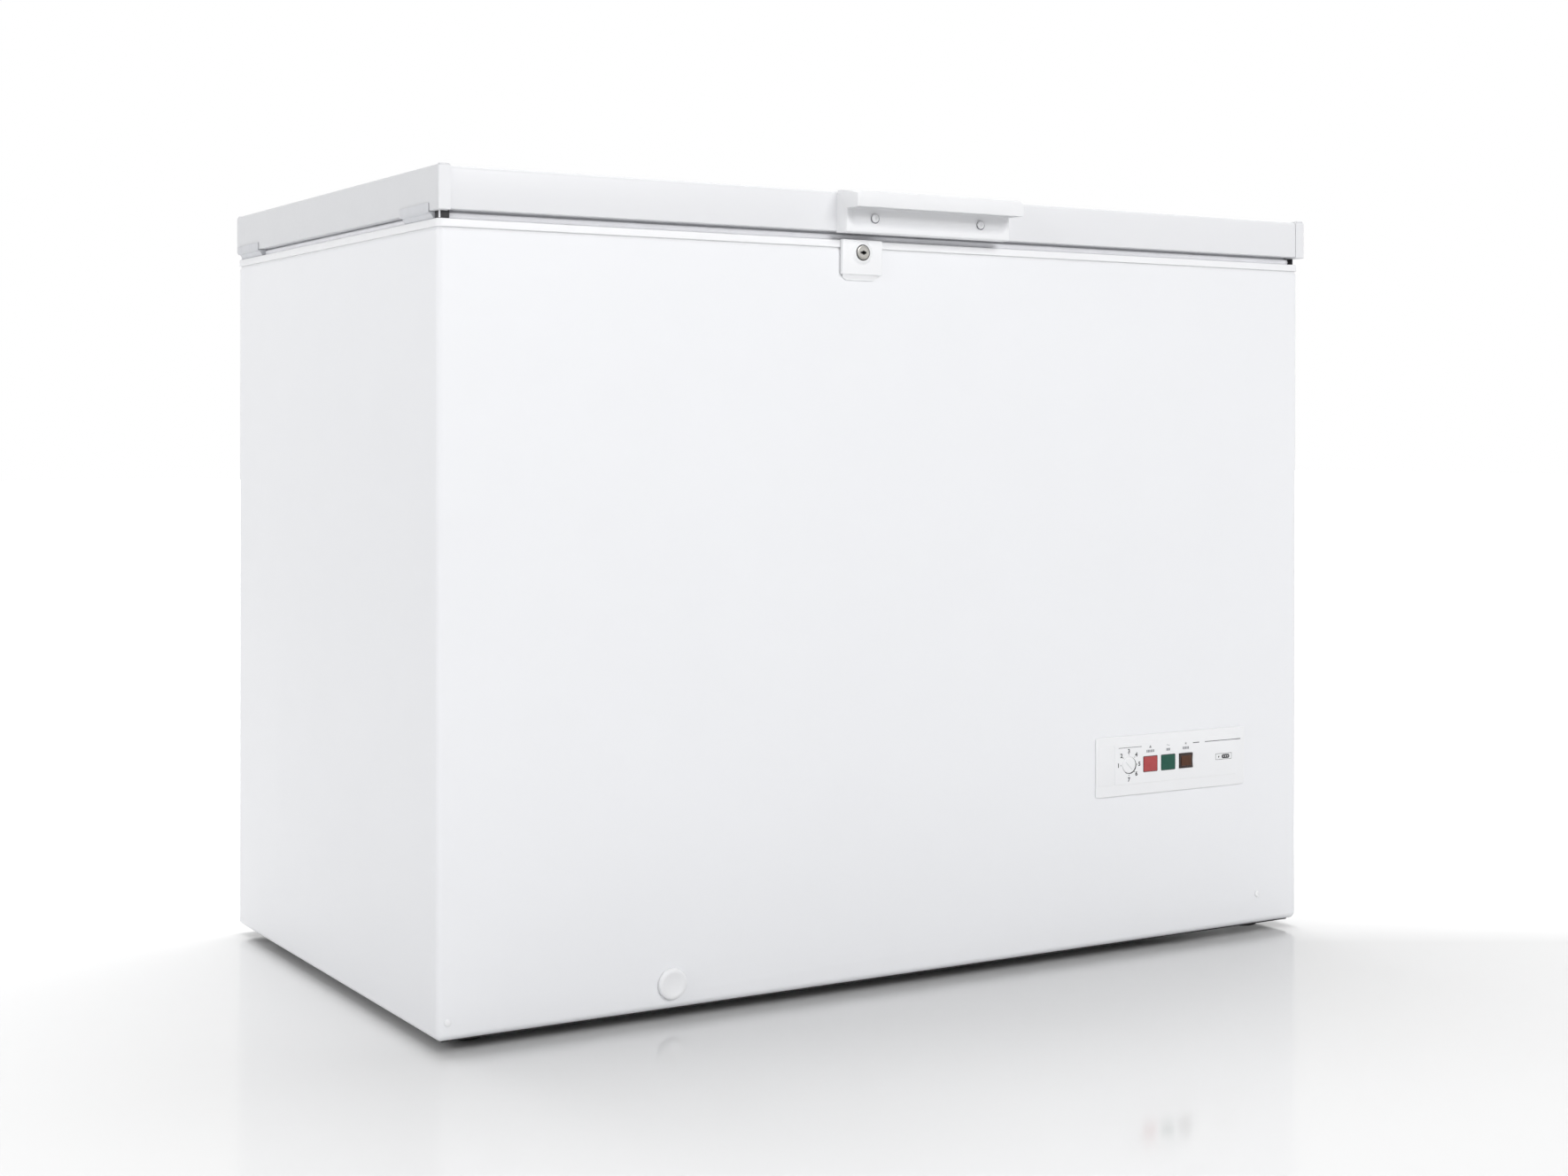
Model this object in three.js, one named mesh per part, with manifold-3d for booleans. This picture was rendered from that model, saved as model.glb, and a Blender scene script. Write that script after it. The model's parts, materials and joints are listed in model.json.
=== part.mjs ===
// Chest freezer: a foamed steel cabinet with a moulded collar, a sprung lid with a grip and a lock, a control
// panel, a compressor compartment under a step in the liner, the cooling circuit and a hanging basket.
// Millimetres. X runs to the right, Y to the back and Z up; the origin is on the floor under the middle of
// the whole object's box.
import * as THREE from "three";
import { mergeVertices } from "three/addons/utils/BufferGeometryUtils.js";
import Module from "manifold-3d";

const wasm = await Module();
wasm.setup();

// ---------------------------------------------------------------- driving dimensions
const GAP = 0.3; // kept between pieces that touch
const SHEET = 1.0; // cabinet sheet steel
const CABINET = { width: 1176, depth: 650, bottom: 10, top: 834.8, edge: 7, foot: 9 };
const WALL = 60; // foamed wall, from the outside of the cabinet to the inside of the liner
const STEP = { x: 175, top: 345 }; // the liner's floor is higher to the right of x
const FLOOR_TOP = 70; // inside of the liner's main floor
const LINER = 1.5; // liner sheet
const COMPARTMENT = { x: 225, top: 290 }; // compressor space under the step
const TUBE_CHANNEL = 9; // free space beside a sheet in which cooling tubes run
const TUBE_R = 3;

const LID = { side: 3, front: 7, rearInset: 2, bottom: 855, top: 899.5, sheet: 1.2 };
const TRIM = { width: 14, proud: 1.2, bottom: 853.8, top: 901, wall: 2.2 };
const HANDLE = { half: 115, taper: 1.4, reach: 42, top: 900.2, hoodBottom: 879.3, lip: 16.6, bottom: 853 };
const HINGE = { x: 400, back: 14, z: 862, ear: 12 };
const COLLAR = { proud: 1, lip: 837.6, top: 846, ledge: 834, bottom: 831 };

const HINGE_REACH = HINGE.back + HINGE.ear;
const OVERALL_DEPTH = HINGE_REACH + CABINET.depth + LID.front + HANDLE.reach;
const SIDE = CABINET.width / 2;
const FRONT = -OVERALL_DEPTH / 2 + HANDLE.reach + LID.front;
const BACK = FRONT + CABINET.depth;
const LID_FRONT = FRONT - LID.front;
const LID_REAR = BACK - LID.rearInset;
const LID_SIDE = SIDE + LID.side;
const LID_INNER_X = LID_SIDE - TRIM.width; // where the steel top meets the end trims
const HINGE_Y = BACK + HINGE.back;

const FOOT = { x: 538, inset: 50, height: 11 };
const DRAIN = { x: -318.5, z: 38, r: 9, bore: 7, cap: 17, inside: 100 };
const LOCK = { x: -80.5, z: 832, left: -106.5, right: -53, bottom: 804.5, proud: 6, wall: 1.3 };
const BARREL = { r: 8.7, clear: 0.6, boss: 11.3, bossProud: 8.3, proud: 9 };
const CAM = { reach: 25.5, thick: 1.6, front: 3.7 };
const PANEL = { left: 259, right: 496, bottom: 189.5, top: 262, proud: 2.6, back: 15.5 };
const DIAL = { x: 309.1, z: 226.8, r: 10, rest: -Math.PI / 4 }; // it rests on its second mark
const LAMP = { width: 21.3, height: 18, z: 225.9, alarm: 342.8, power: 371.1, rocker: 399.4 };
const SCREW = { x: 72.8, z: 869.8, head: 4.6, shank: 2.2 };
const COMPRESSOR = { x: 400, y: 124, r: 80, base: 26 };
const GRILLE = { left: 232, right: 582, bottom: 16, top: 294 };
const GLAND = { x: 262, z: 40 };
const BASKET = { left: 215, right: 515, front: -246, rear: 269, bottom: 640, rim: 834.4, wall: 2.5 };
const RIVETS = { left: { x: -576.2, z: 29.6 }, right: { x: 520.3, z: 47.6 } };

// ---------------------------------------------------------------- solids
// A closed three.js geometry as a solid, its faces turned outwards.
function solid(geometry) {
  const plain = geometry.index ? geometry.toNonIndexed() : geometry.clone();
  for (const name of Object.keys(plain.attributes)) {
    if (name !== "position") plain.deleteAttribute(name);
  }
  const merged = mergeVertices(plain, 1e-3);
  const corners = [];
  for (let i = 0; i < merged.index.count; i += 3) {
    const [a, b, c] = [0, 1, 2].map((k) => merged.index.getX(i + k));
    if (a !== b && b !== c && c !== a) corners.push(a, b, c);
  }
  const build = (triangles) =>
    new wasm.Manifold(
      new wasm.Mesh({
        numProp: 3,
        vertProperties: merged.attributes.position.array,
        triVerts: new Uint32Array(triangles),
      }),
    );
  const made = build(corners);
  return made.volume() < 0 ? build(corners.reverse()) : made;
}

function join(first, ...rest) {
  return rest.reduce((whole, piece) => whole.add(piece), first);
}

function cut(first, ...rest) {
  return rest.reduce((whole, piece) => whole.subtract(piece), first);
}

function common(first, ...rest) {
  return rest.reduce((whole, piece) => whole.intersect(piece), first);
}

function geometryOf(body) {
  const mesh = body.getMesh();
  const geometry = new THREE.BufferGeometry();
  geometry.setAttribute("position", new THREE.BufferAttribute(new Float32Array(mesh.vertProperties), 3));
  geometry.setIndex(new THREE.BufferAttribute(mesh.triVerts, 1));
  const flat = geometry.toNonIndexed();
  flat.computeVertexNormals();
  return flat;
}

// ---------------------------------------------------------------- forms
function box(x0, x1, y0, y1, z0, z1) {
  const geometry = new THREE.BoxGeometry(x1 - x0, y1 - y0, z1 - z0);
  return solid(geometry.translate((x0 + x1) / 2, (y0 + y1) / 2, (z0 + z1) / 2));
}

// Radii go round from the corner at a0, b0: one for all corners, or four.
function roundedRect(a0, a1, b0, b1, radii) {
  const [p, q, r, s] = Array.isArray(radii) ? radii : [radii, radii, radii, radii];
  const shape = new THREE.Shape();
  shape.moveTo(a0 + p, b0);
  shape.lineTo(a1 - q, b0);
  if (q) shape.absarc(a1 - q, b0 + q, q, -Math.PI / 2, 0);
  shape.lineTo(a1, b1 - r);
  if (r) shape.absarc(a1 - r, b1 - r, r, 0, Math.PI / 2);
  shape.lineTo(a0 + s, b1);
  if (s) shape.absarc(a0 + s, b1 - s, s, Math.PI / 2, Math.PI);
  shape.lineTo(a0, b0 + p);
  if (p) shape.absarc(a0 + p, b0 + p, p, Math.PI, 1.5 * Math.PI);
  return shape;
}

function polygon(points) {
  return new THREE.Shape(points.map(([a, b]) => new THREE.Vector2(a, b)));
}

// An arc takes two segments for each of curveSegments, so pieces counts the straight pieces of one arc.
function extruded(shape, depth, pieces) {
  return new THREE.ExtrudeGeometry(shape, { depth, bevelEnabled: false, curveSegments: pieces / 2 });
}

// Outline in X and Y, from z0 up to z1.
function prismZ(shape, z0, z1, pieces = 4) {
  return solid(extruded(shape, z1 - z0, pieces).translate(0, 0, z0));
}

// Outline in X and Z, from y0 back to y1.
function prismY(shape, y0, y1, pieces = 4) {
  return solid(extruded(shape, y1 - y0, pieces).rotateX(Math.PI / 2).translate(0, y1, 0));
}

// Outline in Y and Z, from x0 across to x1.
const ACROSS = new THREE.Matrix4().makeBasis(
  new THREE.Vector3(0, 1, 0),
  new THREE.Vector3(0, 0, 1),
  new THREE.Vector3(1, 0, 0),
);
function prismX(shape, x0, x1, pieces = 4) {
  return solid(extruded(shape, x1 - x0, pieces).applyMatrix4(ACROSS).translate(x0, 0, 0));
}

function rodX(r, x0, x1, y, z, sides = 12) {
  const geometry = new THREE.CylinderGeometry(r, r, x1 - x0, sides).rotateZ(Math.PI / 2);
  return solid(geometry.translate((x0 + x1) / 2, y, z));
}

function rodY(r, y0, y1, x, z, sides = 12) {
  const geometry = new THREE.CylinderGeometry(r, r, y1 - y0, sides);
  return solid(geometry.translate(x, (y0 + y1) / 2, z));
}

function rodZ(r, z0, z1, x, y, sides = 12) {
  const geometry = new THREE.CylinderGeometry(r, r, z1 - z0, sides).rotateX(Math.PI / 2);
  return solid(geometry.translate(x, y, (z0 + z1) / 2));
}

// Profile points are [radius, height along the axis].
function turned(profile, sides, axis) {
  const geometry = new THREE.LatheGeometry(profile.map(([r, h]) => new THREE.Vector2(r, h)), sides);
  return solid(axis === "z" ? geometry.rotateX(Math.PI / 2) : geometry);
}

// A path that runs straight between its points, with its ends as they are.
class PipeRoute extends THREE.Curve {
  constructor(points) {
    super();
    this.points = points;
  }
  getPoint(t, target = new THREE.Vector3()) {
    const place = t * (this.points.length - 1);
    const i = Math.min(Math.floor(place), this.points.length - 2);
    return target.lerpVectors(this.points[i], this.points[i + 1], place - i);
  }
  getPointAt(u, target) {
    return this.getPoint(u, target);
  }
  getTangentAt(u, target = new THREE.Vector3()) {
    const step = 0.45 / (this.points.length - 1);
    const ahead = this.getPoint(Math.min(u + step, 1));
    const behind = this.getPoint(Math.max(u - step, 0));
    return target.subVectors(ahead, behind).normalize();
  }
  getTangent(t, target) {
    return this.getTangentAt(t, target);
  }
}

function pipe(points, r, sides) {
  const section = new THREE.Shape().absarc(0, 0, r, 0, 2 * Math.PI);
  const route = new PipeRoute(points);
  const options = { extrudePath: route, steps: points.length - 1, curveSegments: sides / 2 };
  return solid(new THREE.ExtrudeGeometry(section, options));
}

// Corner points joined by bends of the given radius.
function bent(corners, radius, pieces = 3) {
  const places = corners.map(([x, y, z]) => new THREE.Vector3(x, y, z));
  const points = [places[0]];
  for (let i = 1; i < places.length - 1; i++) {
    const toStart = places[i - 1].clone().sub(places[i]).setLength(radius).add(places[i]);
    const toEnd = places[i + 1].clone().sub(places[i]).setLength(radius).add(places[i]);
    points.push(...new THREE.QuadraticBezierCurve3(toStart, places[i], toEnd).getPoints(pieces));
  }
  points.push(places[places.length - 1]);
  return points;
}

// ---------------------------------------------------------------- outlines of the cabinet, seen from above
// Inset is the distance in from the cabinet's outer faces.
function cornerRadius(inset) {
  return inset < WALL / 2 ? Math.max(CABINET.edge + COLLAR.proud - inset, 3) : inset / 5;
}

function planOutline(inset) {
  return roundedRect(-SIDE + inset, SIDE - inset, FRONT + inset, BACK - inset, cornerRadius(inset));
}

function planRing(outer, inner, z0, z1) {
  return cut(prismZ(planOutline(outer), z0, z1), prismZ(planOutline(inner), z0 - 1, z1 + 1));
}

// ---------------------------------------------------------------- meshes
function finish(color, roughness, metalness = 0) {
  return { color, roughness, metalness };
}
const WHITE_PAINT = finish(0xeef0f4, 0.28);
const WHITE_PLASTIC = finish(0xf0f1f3, 0.42);
const GASKET_RUBBER = finish(0xd9dadb, 0.7);
const GALVANISED = finish(0xb9bdc0, 0.45, 0.9);
const ZINC = finish(0xc4c6c8, 0.35, 0.9);
const COPPER = finish(0xb87355, 0.35, 0.9);
const BLACK_PAINT = finish(0x18191b, 0.4);
const BLACK_RUBBER = finish(0x1c1c1c, 0.85);
const BLACK_PLASTIC = finish(0x222326, 0.55);
const FOAM = finish(0xe6d9a8, 0.95);
const NICKEL = finish(0xc2c0ba, 0.25, 1);
const LINER_PAINT = finish(0xf1f3f4, 0.35);

function piece(name, body, look) {
  const mesh = new THREE.Mesh(geometryOf(body), new THREE.MeshStandardMaterial(look));
  mesh.name = name;
  return mesh;
}

// A second mesh of the same geometry, mirrored to the other side or moved.
function copyOf(mesh, name, { mirror = false, y = mesh.position.y } = {}) {
  const copy = new THREE.Mesh(mesh.geometry, mesh.material.clone());
  copy.name = name;
  copy.position.set(mirror ? -mesh.position.x : mesh.position.x, y, mesh.position.z);
  copy.scale.x = mirror ? -1 : 1;
  return copy;
}

// ---------------------------------------------------------------- cabinet shell
// The cabinet's outer form, rounded at its upright edges and along its foot.
function cabinetForm(inset, back, top) {
  const x = SIDE - inset;
  const y0 = FRONT + inset;
  const z0 = CABINET.bottom + inset;
  const edge = CABINET.edge - inset;
  const foot = CABINET.foot - inset;
  const above = top + 1;
  return common(
    prismZ(roundedRect(-x, x, y0, back, edge), z0, top),
    prismY(roundedRect(-x, x, z0, above, [foot, foot, 0, 0]), y0, back),
    prismX(roundedRect(y0, back, z0, above, [foot, 0, 0, 0]), -x, x),
  );
}

function cabinetWrapper() {
  const back = BACK - 0.9 - GAP;
  const flange = 16;
  const turnUnder = 24;
  const outside = cabinetForm(0, back, CABINET.top);
  const inside = cabinetForm(SHEET, back - SHEET, CABINET.top + 10);
  const rearMouth = box(-SIDE + flange, SIDE - flange, back - 3, back + 3, 30, CABINET.top + 5);
  const underside = box(
    -SIDE + turnUnder, SIDE - turnUnder, FRONT + turnUnder, back - turnUnder,
    CABINET.bottom - 2, CABINET.bottom + 3,
  );
  const window = box(
    PANEL.left + 6.5, PANEL.right - 7, FRONT - 2, FRONT + 3,
    PANEL.bottom + 5.5, PANEL.top - 5.5,
  );
  const drainHole = rodY(DRAIN.r + 0.6, FRONT - 2, FRONT + 3, DRAIN.x, DRAIN.z, 16);
  const rivetHoles = Object.values(RIVETS).map(({ x, z }) => rodY(2.4, FRONT - 2, FRONT + 3, x, z, 8));
  const collarLeg = box(-SIDE + 1.3, SIDE - 1.3, back - 3, back + 3, COLLAR.bottom - GAP, CABINET.top + 5);
  return cut(outside, inside, rearMouth, underside, window, drainHole, collarLeg, ...rivetHoles);
}

function backPanel() {
  const sheet = box(-SIDE + 2, SIDE - 2, BACK - 0.9, BACK, 14, CABINET.top - 0.4);
  const lap = 12; // the grille covers this much of the sheet all round
  const mouth = box(
    GRILLE.left + lap, GRILLE.right - lap, BACK - 3, BACK + 3,
    GRILLE.bottom + lap, GRILLE.top - lap,
  );
  return cut(sheet, mouth);
}

function basePlate() {
  return box(-SIDE + 10, SIDE - 10, FRONT + 10, BACK - 3.5, CABINET.bottom + SHEET + GAP, 12.5);
}

// The liner's outside, grown by extra on every side but the top.
function linerForm(extra, top) {
  const inset = WALL - LINER - extra;
  const floor = FLOOR_TOP - LINER - extra;
  const stepX = STEP.x + LINER + extra;
  const underStep = box(stepX, SIDE, FRONT, BACK, 0, STEP.top - LINER - extra);
  const radius = cornerRadius(WALL) + LINER + extra;
  const plan = roundedRect(-SIDE + inset, SIDE - inset, FRONT + inset, BACK - inset, radius);
  return cut(prismZ(plan, floor, top), underStep);
}

function innerLiner() {
  const drain = rodZ(DRAIN.r + 0.7, 60, 80, DRAIN.x, FRONT + DRAIN.inside, 12);
  return cut(linerForm(0, COLLAR.bottom - GAP), linerForm(-LINER, COLLAR.bottom + 5), drain);
}

function cabinetInsulation() {
  const x = SIDE - TUBE_CHANNEL + 0.5;
  const back = BACK - 0.9 - 2 * GAP - SHEET - 0.4;
  const outline = roundedRect(-x, x, FRONT + TUBE_CHANNEL - 0.5, back, [24, 24, 2, 2]);
  const block = prismZ(outline, 12.9, COLLAR.bottom - 0.4);
  const compartment = box(COMPARTMENT.x, SIDE, FRONT, BACK, 10, COMPARTMENT.top);
  const suctionHole = rodZ(6, COMPARTMENT.top - 5, STEP.top, SUCTION.x, SUCTION.y, 10);
  const drainDown = rodZ(DRAIN.r + 1.2, DRAIN.z - 11, 80, DRAIN.x, FRONT + DRAIN.inside, 10);
  const drainOut = rodY(DRAIN.r + 1.2, FRONT, FRONT + DRAIN.inside + 11, DRAIN.x, DRAIN.z, 10);
  return cut(block, linerForm(TUBE_CHANNEL, COLLAR.top), compartment, suctionHole, drainDown, drainOut);
}

function topCollar() {
  return join(
    planRing(-COLLAR.proud, 2.5, COLLAR.lip, COLLAR.top),
    planRing(1.5, 3.5, COLLAR.bottom, COLLAR.top),
    planRing(-COLLAR.proud, 45, COLLAR.top - 3, COLLAR.top),
    planRing(42, 45, COLLAR.bottom, COLLAR.top),
    planRing(42, WALL, COLLAR.bottom, COLLAR.ledge),
  );
}

function foot() {
  return turned([[0, 0], [19, 0], [22, 2.5], [20, 7], [16, FOOT.height], [0, FOOT.height]], 16, "z");
}

function drainTube() {
  const y = FRONT + DRAIN.inside;
  const low = DRAIN.z - DRAIN.r;
  const outside = join(
    rodZ(DRAIN.r, low, FLOOR_TOP, DRAIN.x, y),
    rodY(DRAIN.r, FRONT + 0.2, y + DRAIN.r, DRAIN.x, DRAIN.z),
  );
  const bores = join(
    rodZ(DRAIN.bore, DRAIN.z - 3, FLOOR_TOP + 5, DRAIN.x, y),
    rodY(DRAIN.bore, FRONT - 5, y + 5, DRAIN.x, DRAIN.z),
  );
  return cut(outside, bores);
}

// ---------------------------------------------------------------- front fittings
function controlPanel() {
  const back = FRONT - GAP;
  const front = FRONT - PANEL.proud;
  const { left, right, bottom, top } = PANEL;
  const plate = prismY(roundedRect(left, right, bottom, top, 3), front, back, 3);
  const fieldFront = front - 0.5;
  const field = prismY(roundedRect(left + 29, right - 14, bottom + 13.5, top - 9.2, 2), fieldFront, back, 2);
  const rear = FRONT + PANEL.back;
  const tub = prismY(roundedRect(left + 8, right - 8.5, bottom + 7, top - 7, 2), back - 1, rear, 2);
  const tubWall = 2;
  const inTub = box(
    left + 8 + tubWall, right - 8.5 - tubWall, FRONT + 0.2, rear + 5,
    bottom + 7 + tubWall, top - 7 - tubWall,
  );
  const dialHole = rodY(DIAL.r + 0.9, front - 3, FRONT + 3, DIAL.x, DIAL.z, 24);
  const lampHole = (x, clear) =>
    box(
      x - LAMP.width / 2 - clear, x + LAMP.width / 2 + clear, front - 3, FRONT + 3,
      LAMP.z - LAMP.height / 2 - clear, LAMP.z + LAMP.height / 2 + clear,
    );
  return cut(
    join(plate, field, tub), inTub, dialHole,
    lampHole(LAMP.alarm, 0.35), lampHole(LAMP.power, 0.35), lampHole(LAMP.rocker, 0.7),
  );
}

function lampLens(x) {
  const outline = roundedRect(
    x - LAMP.width / 2, x + LAMP.width / 2, LAMP.z - LAMP.height / 2, LAMP.z + LAMP.height / 2, 1.5,
  );
  return prismY(outline, FRONT - PANEL.proud - 1.4, FRONT + 11, 2);
}

function thermostatBody() {
  const back = FRONT + PANEL.back + GAP;
  return join(
    box(PANEL.left + 13, DIAL.x + 30, back, back + 34, DIAL.z - 20, DIAL.z + 20),
    box(PANEL.left + 20, DIAL.x + 18, back + 34, back + 42, DIAL.z - 8, DIAL.z + 8),
  );
}

// Drawn about the dial's axis, with Y = 0 on the cabinet's front.
function thermostatKnob() {
  const disc = rodY(DIAL.r, -PANEL.proud - 2.2, -0.4, 0, 0, 24);
  const pointer = box(-1.6, 1.6, -PANEL.proud - 4, -PANEL.proud - 1, -DIAL.r + 2, DIAL.r - 2);
  return join(disc, pointer, rodY(3, -1, 12.5, 0, 0, 10));
}

// Drawn about the rocker's pivot.
function superSwitch() {
  const half = LAMP.height / 2;
  const outline = polygon([
    [-3.6, half - 0.2], [-2.4, 0], [-3.6, 0.2 - half], [6, 0.2 - half], [6, half - 0.2],
  ]);
  return prismX(outline, -LAMP.width / 2 + 0.1, LAMP.width / 2 - 0.1);
}

function lockHousing() {
  const back = FRONT - COLLAR.proud - GAP;
  const front = FRONT - LOCK.proud;
  const top = COLLAR.top + 0.5;
  const { x, z, left, right, bottom } = LOCK;
  const shell = prismY(roundedRect(left, right, bottom, top, [5, 5, 2.5, 2.5]), front, back, 3);
  const footFront = FRONT - 2.2;
  const foot = prismY(roundedRect(left + 3.7, right - 4.7, bottom - 3.5, bottom + 8, 3), footFront, back, 3);
  const boss = rodY(BARREL.boss, FRONT - BARREL.bossProud, front + 1, x, z, 20);
  const inFront = front + LOCK.wall;
  const besideCam = x + CAM.reach + 2;
  const camSpace = box(x - 11, besideCam, inFront, FRONT, z - 11, z + 10);
  const camMouth = box(x - 7, besideCam, inFront, FRONT, z, top + 2);
  const bore = rodY(BARREL.r + BARREL.clear, FRONT - 20, inFront + 1, x, z, 20);
  return cut(join(shell, foot, boss), camSpace, camMouth, bore);
}

// Drawn about the lock's axis, with Y = 0 on the cabinet's front.
function lockCylinder() {
  const face = -BARREL.proud;
  const barrel = rodY(BARREL.r, face, -CAM.front - GAP, 0, 0, 20);
  const keyhole = box(-5, 5, face - 2, face + 3, -0.8, 0.8);
  return cut(barrel, keyhole);
}

function lockCam() {
  return prismY(roundedRect(-6, CAM.reach, -5.5, 5.5, [5, 2, 2, 5]), -CAM.front, CAM.thick - CAM.front, 3);
}

// Drawn about the drain's axis, with Y = 0 on the cabinet's front.
function drainCap() {
  const { cap } = DRAIN;
  const profile = [[0, -5.2], [cap - 4, -5.2], [cap - 1, -4.2], [cap, -2], [cap, -0.4], [0, -0.4]];
  const disc = turned(profile, 24, "y");
  const slot = box(-9, 9, -7, -3.6, -1.4, 1.4);
  return cut(join(disc, rodY(5.8, -1, 14, 0, 0, 12)), slot);
}

function frontRivet() {
  const head = turned([[0, -1.8], [2.2, -1.6], [3.6, -0.8], [4, -0.3], [0, -0.3]], 12, "y");
  return join(head, rodY(1.9, -0.5, 6, 0, 0, 8));
}

// ---------------------------------------------------------------- compressor compartment
// Drawn about the compressor's upright axis, with Z = 0 at the floor.
function compressor() {
  const low = COMPRESSOR.base + 3;
  const shell = turned(
    [
      [0, low], [66, low], [76, low + 12], [COMPRESSOR.r, low + 34], [COMPRESSOR.r, low + 82],
      [76, low + 104], [64, low + 126], [40, low + 143], [0, low + 150],
    ],
    24, "z",
  );
  const sole = prismZ(roundedRect(-104, 104, -66, 66, 14), COMPRESSOR.base, COMPRESSOR.base + 4, 3);
  return join(shell, sole);
}

function terminalBox() {
  const x = COMPRESSOR.x + COMPRESSOR.r + 0.8;
  return prismX(roundedRect(COMPRESSOR.y - 32, COMPRESSOR.y + 32, 62, 122, 6), x, x + 36, 2);
}

function grommet() {
  const top = COMPRESSOR.base - GAP;
  return turned([[0, 12.8], [12, 12.8], [12, 16], [9.5, 19.5], [12, 22.5], [12, top], [0, top]], 12, "z");
}

function filterDrier() {
  const end = DRIER.z - 0.5;
  const profile = [[0, 100], [3.2, 100], [3.2, 110], [9, 120], [9, 185], [3.2, 196], [3.2, end], [0, end]];
  return turned(profile, 10, "z");
}

const WALL_TUBE_X = SIDE - 4.9;
const WALL_TUBE_Y = FRONT + 4.9;
const LINER_TUBE = WALL - LINER - TUBE_CHANNEL / 2;
const SUCTION = { x: SIDE - LINER_TUBE, y: 234 };
const DRIER = { x: 300, y: 304, z: 203.5 };
const TUBE_JOINT = 420; // height at which the discharge pipe hands over to the condenser

function dischargePipe() {
  const x = COMPRESSOR.x + 60;
  const { y } = SUCTION;
  const route = [
    [x, COMPRESSOR.y + 60, 100], [x, y, 100], [x, y, 200],
    [WALL_TUBE_X, y, 200], [WALL_TUBE_X, y, TUBE_JOINT - 0.4],
  ];
  return pipe(bent(route, 18), TUBE_R, 8);
}

// Four passes round the two sides and the front, against the wrapper, then down to the drier.
function condenserTube() {
  const heights = [450, 540, 630, 720];
  const turnY = { left: 304, right: 266 };
  const route = [[WALL_TUBE_X, SUCTION.y, TUBE_JOINT], [WALL_TUBE_X, SUCTION.y, heights[0]]];
  heights.forEach((z, pass) => {
    const from = pass % 2 === 0 ? 1 : -1;
    route.push([from * WALL_TUBE_X, WALL_TUBE_Y, z], [-from * WALL_TUBE_X, WALL_TUBE_Y, z]);
    if (pass === heights.length - 1) return;
    const y = from > 0 ? turnY.left : turnY.right;
    route.push([-from * WALL_TUBE_X, y, z], [-from * WALL_TUBE_X, y, heights[pass + 1]]);
  });
  const last = heights[heights.length - 1];
  const { x, y } = DRIER;
  route.push([WALL_TUBE_X, y, last], [WALL_TUBE_X, y, 240], [x, y, 240], [x, y, DRIER.z]);
  return pipe(bent(route, 13, 2), TUBE_R, 6);
}

// A coil of rising loops round the liner, above the step.
function evaporatorTube() {
  const x = SIDE - LINER_TUBE;
  const y0 = FRONT + LINER_TUBE;
  const y1 = BACK - LINER_TUBE;
  const loops = 3;
  const rise = 110;
  const route = [[SUCTION.x, SUCTION.y, 358], [SUCTION.x, SUCTION.y, 408]];
  for (let loop = 0; loop < loops; loop++) {
    const z = 395 + loop * rise;
    route.push([x, y0, z + 0.3 * rise], [-x, y0, z + 0.55 * rise], [-x, y1, z + 0.75 * rise]);
    if (loop < loops - 1) route.push([x, y1, z + rise]);
  }
  route.push([x - 120, y1, 395 + loops * rise]);
  return pipe(bent(route, 21, 4), TUBE_R, 6);
}

function suctionPipe() {
  const x = COMPRESSOR.x - 62;
  const { y } = SUCTION;
  const route = [
    [x, COMPRESSOR.y + 60, 120], [x, y, 120], [x, y, 250],
    [SUCTION.x, y, 250], [SUCTION.x, y, 357.5],
  ];
  return pipe(bent(route, 20), 4, 8);
}

function compressorGrille() {
  const plate = prismY(
    roundedRect(GRILLE.left, GRILLE.right, GRILLE.bottom, GRILLE.top, 6), BACK + GAP, BACK + GAP + 1.2, 2,
  );
  const slots = [];
  const [rows, columns, slotHeight, pitch] = [11, 2, 7, 17];
  const slotWidth = (GRILLE.right - GRILLE.left - 70) / columns;
  for (let row = 0; row < rows; row++) {
    for (let column = 0; column < columns; column++) {
      const x = GRILLE.left + 25 + column * (slotWidth + 20);
      const z = GRILLE.bottom + 64 + row * pitch;
      slots.push(box(x, x + slotWidth, BACK - 1, BACK + 4, z, z + slotHeight));
    }
  }
  return cut(plate, ...slots, rodY(9.5, BACK - 1, BACK + 4, GLAND.x, GLAND.z, 12));
}

// Drawn about the gland's axis, with Y = 0 on the back panel.
function cableGland() {
  const bore = 4.2;
  const profile = [
    [bore, -8], [8.6, -8], [8.6, 1.9], [13, 1.9], [13, 5],
    [9.5, 6.5], [7, 14], [bore, 14], [bore, -8],
  ];
  return turned(profile, 12, "y");
}

// ---------------------------------------------------------------- hinges, drawn about the hinge axis
const PLATE_FRONT = COLLAR.proud + GAP - HINGE.back; // the fixed plate clears the collar's rear lip

function hingeBracket() {
  const plate = prismY(roundedRect(-42, 42, -122, -12, 5), PLATE_FRONT, PLATE_FRONT + 2.4, 2);
  const ear = (x) =>
    join(
      rodX(HINGE.ear, x, x + 3, 0, 0, 16),
      prismX(polygon([[PLATE_FRONT + 1, -52], [11, -4], [-7, 9], [PLATE_FRONT + 1, -12]]), x, x + 3),
    );
  return cut(join(plate, ear(-33.5), ear(30.5)), rodX(4.6, -40, 40, 0, 0, 12));
}

function hingeArm() {
  const lidFace = LID_REAR - HINGE_Y;
  const plate = prismY(roundedRect(-29.5, 14, -2, 31, 3), lidFace + GAP, lidFace + GAP + 2.2, 2);
  const web = box(-26, 11, lidFace + 1.5, -3, -3, 4);
  return cut(join(plate, web, rodX(7.4, -29.5, 14, 0, 0, 14)), rodX(4.6, -40, 40, 0, 0, 12));
}

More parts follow.
